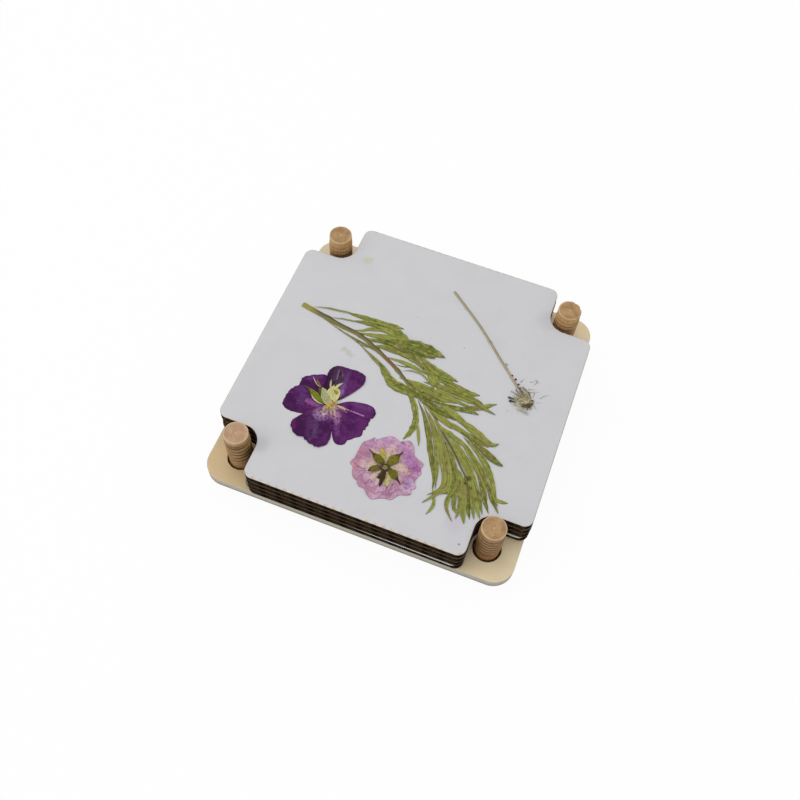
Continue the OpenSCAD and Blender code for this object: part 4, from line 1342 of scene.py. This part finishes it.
# Petals: layer and rim
PURPLE_PETALS = [
    (2, [(0.03, 0.07), (0.12, 0.17), (0.2, 0.3), (0.23, 0.39), (0.21, 0.47), (0.14, 0.5),
         (-0.02, 0.5), (-0.14, 0.48), (-0.19, 0.42), (-0.2, 0.34), (-0.16, 0.22), (-0.08, 0.08)]),
    (1, [(-0.06, 0.07), (-0.18, 0.31), (-0.31, 0.29), (-0.43, 0.21), (-0.44, 0.14), (-0.42, 0.06),
         (-0.24, 0), (-0.05, 0)]),
    (0, [(-0.05, 0.04), (-0.32, 0.1), (-0.44, 0.09), (-0.5, 0.02), (-0.52, -0.06), (-0.52, -0.18),
         (-0.46, -0.23), (-0.38, -0.24), (-0.26, -0.22), (-0.16, -0.16), (-0.03, -0.03)]),
    (2, [(-0.05, -0.03), (-0.18, -0.14), (-0.28, -0.26), (-0.33, -0.35), (-0.31, -0.42),
         (-0.23, -0.49), (-0.14, -0.49), (-0.08, -0.52), (0, -0.54), (0.06, -0.54),
         (0.13, -0.48), (0.14, -0.38), (0.1, -0.24), (0.03, -0.05)]),
    (0, [(0.02, -0.03), (0.08, -0.2), (0.13, -0.32), (0.19, -0.41), (0.25, -0.43), (0.31, -0.4),
         (0.33, -0.34), (0.44, -0.24), (0.44, -0.18), (0.46, -0.1),
         (0.44, 0), (0.24, 0.02), (0.06, 0.02)]),
    (1, [(0.04, 0), (0.18, -0.04), (0.36, -0.04), (0.47, 0), (0.49, 0.07),
         (0.45, 0.13), (0.38, 0.15), (0.28, 0.14), (0.17, 0.11), (0.08, 0.05)]),
]
# Broad sepals: outline in mm on the card and colour
PURPLE_LEAVES = [
    ([(-43, -25.5), (-40, -26), (-38.5, -27.5), (-36, -29), (-34.5, -32), (-35, -34), (-37.5, -34.5),
      (-40.5, -32.5), (-42, -29.5)], (172, 172, 128)),
    ([(-39.2, -27.4), (-38.8, -24), (-37.2, -22.2), (-33.2, -23.6), (-32, -26.6), (-32.3, -29.8),
      (-34, -31), (-36.5, -29.4)], (206, 200, 138)),
    ([(-36.5, -24.5), (-33.3, -25), (-34, -27)], (144, 150, 54)),
]
# Narrow sepals and spurs: middle line, width, widest place, colour, colour of the tip
PURPLE_BLADES = [
    ([(-38.2, -34.5), (-42, -32.8), (-46, -30.4), (-50, -28.6)], 3.4, 0.5, (120, 130, 34), (110, 110, 30)),
    ([(-38, -35.3), (-42, -34.9), (-45, -33.5), (-47.8, -31)], 0.9, 0.5, (210, 204, 160), (190, 184, 130)),
    ([(-49, -29), (-51, -28.4), (-53, -28.3)], 0.5, 0.4, (116, 116, 40), (110, 100, 50)),
    ([(-37.8, -26), (-39.4, -22), (-40.3, -18.5)], 1.1, 0.5, (200, 194, 150), (180, 170, 140)),
    ([(-37, -26), (-37.5, -21)], 1.2, 0.5, (204, 198, 150), (190, 184, 140)),
    ([(-36.2, -26), (-35.4, -21.6), (-33.2, -18.5)], 1.8, 0.5, (206, 200, 152), (196, 186, 150)),
    ([(-43.5, -25.5), (-46, -25), (-49, -22.5), (-51, -20.3)], 0.6, 0.4, (206, 184, 170), (190, 160, 160)),
    ([(-43.5, -25.4), (-46, -23.6), (-48.2, -21.4)], 1.1, 0.5, (122, 110, 50), (110, 92, 52)),
    ([(-44.4, -25.2), (-43.4, -27.6), (-42, -30.4)], 1.6, 0.5, (96, 92, 42), (90, 86, 44)),
]
# Anthers, and the greyish stigma last: place and radius in mm
ANTHERS = [(-32.4, -31.4, 1.0), (-31.6, -32.4, 0.7), (-33.4, -31.9, 0.8), (-34.8, -35.2, 1.1),
           (-36, -34.7, 0.8), (-35.4, -36.2, 0.9), (-33.8, -33.6, 0.8), (-33.3, -35.8, 0.7),
           (-36.4, -38.8, 0.8)]
# Streaks and folds of the petals, painted sheen of light on them, and the specks round the throat
PURPLE_MARKS_AND_SHEEN = [
    (((-54, -26), (-45, -28)), 2.2, (58, 22, 62), 0.7),
    (((-52, -22.5), (-47, -19.5)), 1.3, (114, 58, 128), 0.5),
    (((-42, -12), (-41, -25)), 1.9, (44, 20, 46), 0.8),
    (((-38.6, -12.5), (-38, -20)), 2.3, (74, 58, 74), 0.75),
    (((-34.6, -13), (-36, -20)), 1.6, (66, 50, 68), 0.7),
    (((-38.6, -11.5), (-37.6, -17)), 0.35, (140, 122, 132), 0.7),
    (((-36.6, -11.5), (-34.8, -15.5)), 0.35, (120, 100, 116), 0.6),
    (((-37, -12.5), (-37, -14)), 0.7, (34, 18, 38), 0.8),
    (((-34.4, -15.2), (-34, -16.2)), 0.7, (34, 18, 38), 0.8),
    (((-32.7, -17), (-32.4, -17.8)), 0.7, (34, 18, 38), 0.8),
    (((-38.4, -20), (-38, -21.4)), 0.8, (36, 22, 36), 0.8),
    (((-33, -11), (-32.6, -20)), 1.2, (112, 72, 130), 0.5),
    # Painted sheen: lighter bluish streak of light on the top petal
    (((-32.6, -20), (-32.2, -24)), 1.5, (122, 86, 146), 0.65),
    (((-31.8, -23.5), (-32, -28)), 1.1, (156, 108, 156), 0.7),
    (((-26.5, -24.2), (-31.8, -28.6)), 0.7, (42, 16, 44), 0.8),
    (((-43, -18.5), (-42.2, -25)), 0.7, (52, 18, 54), 0.8),
    # Painted sheen: this row and the next, lighter bluish patches of light on the left petals
    (((-52, -31), (-50, -37)), 2.8, (106, 64, 124), 0.5),
    (((-47, -36), (-41, -36.4)), 1.5, (146, 88, 146), 0.8),
    (((-46, -41), (-38.5, -37)), 0.9, (92, 26, 78), 0.8), (((-47, -45), (-45, -54)), 2.8, (60, 24, 64), 0.7),
    (((-49.4, -50), (-47.5, -54)), 0.8, (108, 28, 86), 0.7),
    # Painted sheen: greyish-violet patch of light on the lower petal
    (((-38, -45), (-35, -55)), 1.5, (92, 68, 106), 0.55),
    (((-41.5, -46), (-38.5, -56)), 1.2, (84, 60, 94), 0.45),
    (((-39, -41.5), (-33.5, -41.5)), 2.0, (136, 94, 146), 0.7),
    (((-24, -35.5), (-15.5, -43.5)), 1.0, (66, 24, 76), 0.6),
    # Painted sheen: lighter violet streak of light on the lower right petal
    (((-28.5, -40.5), (-24, -49)), 1.4, (120, 70, 132), 0.6),
    (((-29, -38), (-27, -41.5)), 1.4, (160, 112, 156), 0.7),
    # Painted sheen: lighter violet streak of light on the right petal
    (((-22, -28), (-14, -28.5)), 1.5, (116, 66, 130), 0.5),
    (-37.3, -40.6, 3.6, (170, 132, 168), 0.6), (-30, -38.4, 3, (176, 128, 156), 0.5),
    (-33.8, -34.4, 2.4, (222, 196, 150), 0.9), (((-34, -32.8), (-26.5, -33)), 0.6, (226, 196, 172), 0.75),
    (((-33, -34), (-24.5, -34.6)), 0.45, (206, 166, 156), 0.6),
    (((-25.5, -32.9), (-15, -33.3)), 0.28, (190, 136, 188), 0.8),
    (((-31.4, -36), (-29.4, -39.4)), 0.6, (218, 186, 166), 0.65),
    (((-33, -36), (-32, -39)), 0.5, (212, 180, 160), 0.55),
    (((-37, -36), (-36, -40.4)), 0.8, (206, 190, 164), 0.7),
    (((-35, -37), (-34.4, -40)), 0.5, (196, 168, 160), 0.6),
    (((-29, -34.4), (-18, -34.4)), 0.35, (60, 22, 64), 0.7), (-33.3, -32.5, 0.6, (50, 26, 30), 0.8),
    (-30, -30.5, 0.6, (50, 26, 30), 0.8),
]
PURPLE_SPECKS = [(-38.3, -38.5), (-39, -39.5), (-40.2, -41.5), (-37.5, -41), (-38, -43),
                 (-36, -43), (-34, -41), (-33.8, -42.5), (-32.2, -41.3), (-30, -39.5),
                 (-28, -39.7), (-27.5, -40.5), (-45, -38.3), (-29.5, -31.5), (-25, -31),
                 (-24, -31.8), (-23.5, -30.5), (-23.3, -32.7), (-26, -27.5)]


def purple_paint(s):
    """Dried violet petal: soft blotches of violet, a darker and a greyish shade, painted sheen, a
    near-black rim, and the streaks, folds, sheen and specks of single petals."""
    p = Paint("violet_petal", 0.7, 0.06)
    along, around, tone = p.held("along", "around", "tone")
    veins = p.noise((1.6, 10, 7), 4, 0.6, p.triple(along, around, tone))
    mottle = p.noise(280, 4, 0.62)
    broad = p.noise(95, 3, 0.55)
    petal = p.mix((broad*0.6 + mottle*0.4).rise(0.38, 0.6), s.dark, s.body)
    # Painted sheen: lighter streaks in the sheen colour where the noise is high
    petal = p.layers(petal, ((veins*0.5 + mottle*0.5).rise(0.52, 0.68)*0.45, s.light),
                     (veins.fall(0.32, 0.46)*0.3, s.dark))
    petal = p.washes(petal, PURPLE_MARKS_AND_SHEEN)
    petal = p.mix((along + veins*0.02).rise(0.97, 1.01)*0.6, petal, dim(s.dark, 0.4))
    petal = p.washes(petal, [(*place, 0.45, (44, 18, 44), 0.85) for place in PURPLE_SPECKS])
    return p.finish(petal, None, veins*0.5 + mottle*0.5, 0.2*MM)


class PRESS_OT_purple_flower(Operator):
    """Lays the purple flower on the top card"""
    bl_idname = "press.purple_flower"
    bl_label = "Purple flower"

    def execute(self, context):
        s = context.scene.press_purple
        span = context.scene.press_sprig.span
        apart = context.scene.press_pink.width/2 + FLOWER_GAP + s.width/2
        centre = PINK_AT*span + apart*heading(np.radians(PURPLE_DIRECTION))
        petals = Skin()
        for number, (layer, shares) in enumerate(PURPLE_PETALS):
            rim = centre + closed_curve(np.array(shares)*s.width, 10)
            turn = full_turn(len(rim))
            base = centre + (np.array(shares[0]) + np.array(shares[-1]))*s.width/2
            away = rim - base
            rim = base + away*(1 + 0.012*ripple(turn, 300 + number, 9, 24))[:, None]
            rings, along, around = petal_rings(rim, base, (0.02 + 0.22*layer)*MM, s.petal, s.ruffle,
                                               seed=310 + 3*number, folds=(4, 10))
            petals.add_rings(rings, along=along, around=around, tone=number/len(PURPLE_PETALS))
        petals.make("violet_petals", purple_paint(s), "purple_flower", "violet_petal",
                    ["purple_flower_petals"])
        self.make_middle(s)
        return {"FINISHED"}

    def make_middle(self, s):
        """The sepals, the anthers and the stigma."""
        sepals = Skin()
        for number, (shape, tint) in enumerate(PURPLE_LEAVES):
            rim = closed_curve(np.array(shape)*MM, 8)
            rings, along, around = petal_rings(rim, rim.mean(0), (0.85 + 0.2*number)*MM,
                                               thick=0.2*MM, ruffle=0.15*MM, seed=430 + number,
                                               folds=(2, 6))
            edge = soft_step(along, 0.8, 1.0)
            light = {key: value*(1 + 0.35*edge) for key, value in tinted(tint).items()}
            sepals.add_rings(rings, along=along, across=0.3*np.cos(around), **light)
        blades(sepals, PURPLE_BLADES, lift=1.0*MM, thick=0.25*MM, arch=0.06, seed=400)
        sepals.make("violet_sepals", sepal_paint("cream_sepal"), "purple_flower",
                    "cream_sepal", ["purple_flower_centre"])
        anthers = Skin()
        for number, (x, y, radius) in enumerate(np.array(ANTHERS)*MM):
            red, green, blue = s.grey if number == len(ANTHERS) - 1 else s.yellow
            pod = pod_rings((x, y, 1.3*MM), (radius, 0.85*radius, 0.6*MM), direction=number*1.1,
                            lump=0.2, seed=40 + number, steps=24, columns=30)
            anthers.add_rings(pod, red=red, green=green, blue=blue)
        grainy = speckled("anther", roughness=0.6, grain_scale=1400, detail=4, grain_roughness=0.65,
                          low=0.4, dark=0.7, depth=0.3*MM)
        anthers.make("violet_anthers", grainy, "purple_flower", "cream_sepal")


# Seed head. Places are in mm on the card

SEED_STALK = [(4, 65.5), (23.5, 50), (34, 40.5), (45, 29.7), (51, 24.3), (55, 20.3), (59.3, 16)]
# The stalk's knots, as shares of its length
SEED_JOINTS = (0.35, 0.62, 0.74, 0.78, 0.84)
# Bundles of hairs: start, end, spread at the start and at the end, count and colour
SEED_BUNDLES = [
    ((61, 6.5), (66, 3.4), 1.2, 1.2, 24, (206, 202, 184)),
    ((63, 3.4), (69.5, 2.2), 1.2, 1.0, 22, (206, 202, 184)),
    ((59.5, 8.5), (66, 6.5), 1.5, 1.4, 46, (168, 162, 130)),
    ((60, 16.3), (66.5, 11), 0.4, 1.8, 34, (128, 112, 88)),
    ((60.5, 17), (62, 13.6), 0.3, 0.8, 12, (124, 108, 84)),
    ((63.5, 13.8), (68, 10.4), 0.6, 1.1, 34, (182, 172, 120)),
    ((61.5, 17.3), (65.5, 15.5), 0.3, 0.4, 10, (126, 116, 74)),
    ((65.5, 15.5), (68, 12.3), 0.4, 0.4, 10, (124, 114, 72)),
    ((58.3, 14.5), (60.8, 12.8), 0.3, 0.4, 8, (96, 86, 62)),
    ((56.3, 12.4), (60, 11.5), 0.25, 0.3, 8, (122, 108, 80)),
    ((60, 11.5), (65, 9.8), 0.3, 0.4, 9, (92, 78, 52)), ((57, 8.3), (61.5, 8), 0.5, 0.8, 12, (120, 110, 88)),
]
# Fans of hairs round the heart: first and last direction in degrees, least and greatest length,
# count and colour
SEED_HEART = (67.2, 8.2)
SEED_FANS = [
    (95, 215, 5, 9.5, 150, (196, 188, 156)), (100, 200, 6, 10.5, 60, (128, 114, 86)),
    (120, 165, 3, 7, 50, (182, 172, 112)), (200, 330, 2, 5, 60, (122, 102, 74)),
    (330, 460, 1.5, 4.5, 40, (150, 138, 108)), (0, 360, 0.8, 2.6, 70, (88, 68, 34)),
]
# Single bristles: start, end and colour
LOOSE_BRISTLES = [
    ((59.5, 20.2), (61, 23.3), (120, 120, 110)), ((64.6, 22.6), (67, 23.6), (100, 98, 98)),
    ((67, 25), (69.6, 23.9), (100, 98, 98)), ((68.2, 24.3), (67.4, 21.4), (100, 98, 98)),
    ((65.3, 17.6), (69, 18.8), (160, 156, 146)), ((66, 15.8), (71.5, 18.2), (160, 156, 146)),
    ((69, 16.8), (68.8, 12.7), (110, 105, 95)), ((72.8, 14.3), (77.3, 19), (150, 148, 142)),
    ((68.8, 6.5), (69.3, 5.3), (96, 74, 40)), ((68, 6), (67.8, 3.3), (86, 66, 36)),
    ((66.5, 5.5), (65.8, 4.7), (96, 74, 40)), ((70.3, 6.5), (69.5, 5), (96, 74, 40)),
    ((71, 8.5), (73.3, 6.3), (140, 134, 116)), ((71.5, 11), (75, 12), (190, 186, 164)),
    ((69.5, 10.3), (71.5, 11), (190, 180, 130)),
]
# Seeds and dark knots: place, length, width, direction in degrees and colour
SEEDS = [
    (68, 7.5, 3.6, 2.8, 20, (92, 68, 24)), (67, 10.3, 1.6, 1.2, 70, (112, 94, 40)),
    (69.8, 9, 1.6, 1.1, 40, (84, 66, 30)),
    (65.5, 6.5, 2.8, 2.2, 0, (104, 84, 56)), (69.3, 11.2, 2.2, 0.7, 8, (85, 75, 30)),
    (57.1, 8.3, 3.0, 1.0, 0, (60, 60, 50)), (58, 6.4, 2.4, 1.3, 5, (50, 50, 45)),
    (60, 6.5, 2.2, 0.7, 0, (62, 60, 50)),
    (53.8, 22.5, 1.3, 1.0, 40, (60, 35, 30)), (56.4, 20.9, 1.5, 1.0, 60, (45, 25, 25)),
    (58.9, 18.4, 1.3, 1.1, 30, (85, 90, 75)), (48.6, 28.5, 2.2, 0.5, 150, (150, 120, 104)),
]


def add_hair(skin, root, tip, heights, radius, bend, tint):
    """Adds a hair: three sides round the curve from root to tip, which bends sideways by the
    share bend of its length and narrows to its tip. Root, tip and their heights above the card
    are in millimetres."""
    root, tip = (np.array([*flat, z])*MM for flat, z in zip((root, tip), heights))
    way = tip - root
    t = np.linspace(0, 1, 6)[:, None]
    side = np.array([-way[1], way[0], 0])
    centre = root + [0, 0, PLANTS_Z] + way*t + side*4*bend*t*(1 - t)
    turn = np.radians([[30], [150], [270]])
    ring = np.cos(turn)*side/np.linalg.norm(side) + np.sin(turn)*np.array([0, 0, 1])
    skin.add_rings(centre[:, None] + ring*(radius*(1 - 0.75*t)[..., None]), **tinted(tint))


class PRESS_OT_seed_head(Operator):
    """Lays the stalk with its seed head on the top card"""
    bl_idname = "press.seed_head"
    bl_label = "Seed head"

    def execute(self, context):
        s = context.scene.press_seed
        stalk = Skin()
        rings, along, across = stem_rings(np.array(SEED_STALK)*MM, s.stalk_width, height=0.8*MM,
                                          taper=0.95, joints=SEED_JOINTS)
        stalk.add_rings(rings, along=along, across=across)
        straw = stem_paint("straw_stalk", s.stalk, dim(s.stalk, 0.5), s.blush, start=0.66, stop=0.86)
        stalk.make("seed_stalk", straw, "seed_head", "straw_stalk", ["seed_head_stalk"])
        rng = np.random.default_rng(8)
        hairs = Skin()
        for start, end, near, far, count, tint in SEED_BUNDLES:
            for _ in range(count):
                add_hair(hairs, start + rng.uniform(-1, 1, 2)*near, end + rng.uniform(-1, 1, 2)*far,
                         rng.uniform(0.3, 1.4, 2), s.hair*rng.uniform(0.6, 1.15),
                         rng.uniform(-0.06, 0.06), np.array(tint)*rng.uniform(0.85, 1.12))
        for first, last, shortest, longest, count, tint in SEED_FANS:
            for _ in range(count):
                ray = heading(np.radians(rng.uniform(first, last)))
                root = SEED_HEART + rng.uniform(-0.8, 0.8, 2)
                add_hair(hairs, root, root + ray*rng.uniform(shortest, longest),
                         rng.uniform(0.5, 1.5, 2)*[1, 0.7], s.hair*rng.uniform(0.5, 1.0),
                         rng.uniform(-0.07, 0.07), np.array(tint)*rng.uniform(0.8, 1.15))
        for start, end, tint in LOOSE_BRISTLES:
            add_hair(hairs, start, end, (0.25, 0.25), 1.3*s.hair, 0.03, tint)
        p = Paint("seed_fluff", 0.6)
        base = p.mix(p.noise(500, 2).rise(0.45, 0.7)*0.4, p.point_tint(), s.straw)
        hairs.make("seed_hairs", p.finish(base), "seed_head", "seed_fluff", ["seed_head_bristles"])
        seeds = Skin()
        for number, (x, y, size, across, direction, tint) in enumerate(SEEDS):
            radii = np.array([size/2, across/2, 0.35*across])*MM
            seeds.add_rings(pod_rings((x*MM, y*MM, 0.7*MM), radii, np.radians(direction),
                                      lump=0.22, seed=70 + number), **tinted(tint))
        dark = speckled("dark_seed", roughness=0.5, grain_scale=1500, detail=3, grain_roughness=0.6,
                        low=0.35, dark=0.45, depth=0.15*MM)
        seeds.make("seeds", dark, "seed_head", "seed_fluff")
        return {"FINISHED"}


# Stage

# Lamps: name, place and size in metres
LAMPS = (("lamp", (-0.25, 0.1, 1.2), 0.9), ("side", (-0.9, -0.5, 0.5), 0.5))
# Half the floor's width in metres
FLOOR_HALF = 6.0


class PRESS_OT_stage(Operator):
    """Sets up the camera, the lamps and the white floor"""
    bl_idname = "press.stage"
    bl_label = "Camera, lamps and floor"

    def execute(self, context):
        s = context.scene.press_stage
        self.make_camera(context.scene, s)
        for name, place, size in LAMPS:
            self.make_lamp(name, place, size, getattr(s, name + "_power"))
        self.make_world(context.scene, s)
        self.make_floor(s)
        context.scene.view_settings.view_transform = "Standard"
        return {"FINISHED"}

    def make_camera(self, scene, s):
        """Looks down at the target from the azimuth and elevation, rolled about its own axis."""
        azimuth, elevation, roll = np.radians([s.azimuth, s.elevation, s.roll])
        back = np.array([np.sin(azimuth)*np.cos(elevation), -np.cos(azimuth)*np.cos(elevation),
                         np.sin(elevation)])
        level = np.array([np.cos(azimuth), np.sin(azimuth), 0.0])
        raised = np.cross(back, level)
        right = np.cos(roll)*level + np.sin(roll)*raised
        up = -np.sin(roll)*level + np.cos(roll)*raised
        place = np.array([s.target_x, s.target_y, BOARD_HIGH[2]]) + s.distance*back
        data = bpy.data.cameras.new("camera")
        data.lens = s.lens
        data.sensor_width = 36
        data.clip_start = 0.01
        camera = bpy.data.objects.new("camera", data)
        scene.collection.objects.link(camera)
        turn = np.eye(4)
        turn[:3, :3] = np.stack([right, up, back], -1)
        turn[:3, 3] = place
        camera.matrix_world = Matrix(turn.tolist())
        scene.camera = camera

    def make_lamp(self, name, place, size, power):
        """A square soft lamp that faces the press."""
        data = bpy.data.lights.new(name, "AREA")
        data.size = size
        data.energy = power
        lamp = bpy.data.objects.new(name, data)
        lamp.location = place
        lamp.rotation_euler = Vector(place).to_track_quat("Z", "Y").to_euler()
        bpy.context.scene.collection.objects.link(lamp)

    def make_world(self, scene, s):
        """Plain light from all round, which the camera and shiny surfaces see as white."""
        world = bpy.data.worlds.new("white_room")
        tree = Tree(world)
        sky = tree.nodes["Background"]
        tree.feed(sky.inputs["Color"], WHITE)
        tree.feed(sky.inputs["Strength"], s.sky)
        white = tree.node("Background", {}, {"Color": WHITE, "Strength": 1.0})
        tree.show(Value(tree, sky.outputs[0]), white, 1.0, "World Output")
        scene.world = world

    def make_floor(self, s):
        """A wide pale floor. The camera sees it lifted to white, and a soft shadow stays."""
        corners = FLOOR_HALF*np.array([(-1, -1, 0), (1, -1, 0), (1, 1, 0), (-1, 1, 0)])
        mesh = bpy.data.meshes.new("floor")
        mesh.from_pydata(corners, [], [(0, 1, 2, 3)])
        p = Paint("floor", 0.9)
        p.feed(p.shader.inputs["Base Color"], s.floor)
        glow = p.node("Emission", {}, {"Color": WHITE})
        p.show(Value(p, p.shader.outputs[0]), glow, s.floor_glow, "Material Output")
        mesh.materials.append(p.material)
        floor = bpy.data.objects.new("floor", mesh)
        bpy.context.scene.collection.objects.link(floor)


# Add-on

OPERATORS = (PRESS_OT_stage, PRESS_OT_board, PRESS_OT_bolts, PRESS_OT_cards, PRESS_OT_sprig,
             PRESS_OT_purple_flower, PRESS_OT_pink_flower, PRESS_OT_seed_head)


class PRESS_PT_panel(Panel):
    """Lists what the add-on makes and the values that it uses"""
    bl_label = "Flower press"
    bl_space_type = "VIEW_3D"
    bl_region_type = "UI"
    bl_category = "Press"

    def draw(self, context):
        for operator in OPERATORS:
            self.layout.operator(operator.bl_idname)
        for name, group in GROUPS.items():
            box = self.layout.box()
            box.label(text=group.__doc__)
            for key in group.__annotations__:
                box.prop(getattr(context.scene, name), key)


CLASSES = (*GROUPS.values(), *OPERATORS, PRESS_PT_panel)


def register():
    for cls in CLASSES:
        bpy.utils.register_class(cls)
    for name, group in GROUPS.items():
        setattr(bpy.types.Scene, name, PointerProperty(type=group))


def unregister():
    for name in reversed(GROUPS):
        delattr(bpy.types.Scene, name)
    for cls in reversed(CLASSES):
        bpy.utils.unregister_class(cls)


def main():
    register()
    bpy.ops.press.stage()
    bpy.ops.press.board()
    bpy.ops.press.bolts()
    bpy.ops.press.cards()
    bpy.ops.press.sprig()
    bpy.ops.press.pink_flower()
    bpy.ops.press.purple_flower()
    bpy.ops.press.seed_head()


if __name__ == "__main__":
    main()
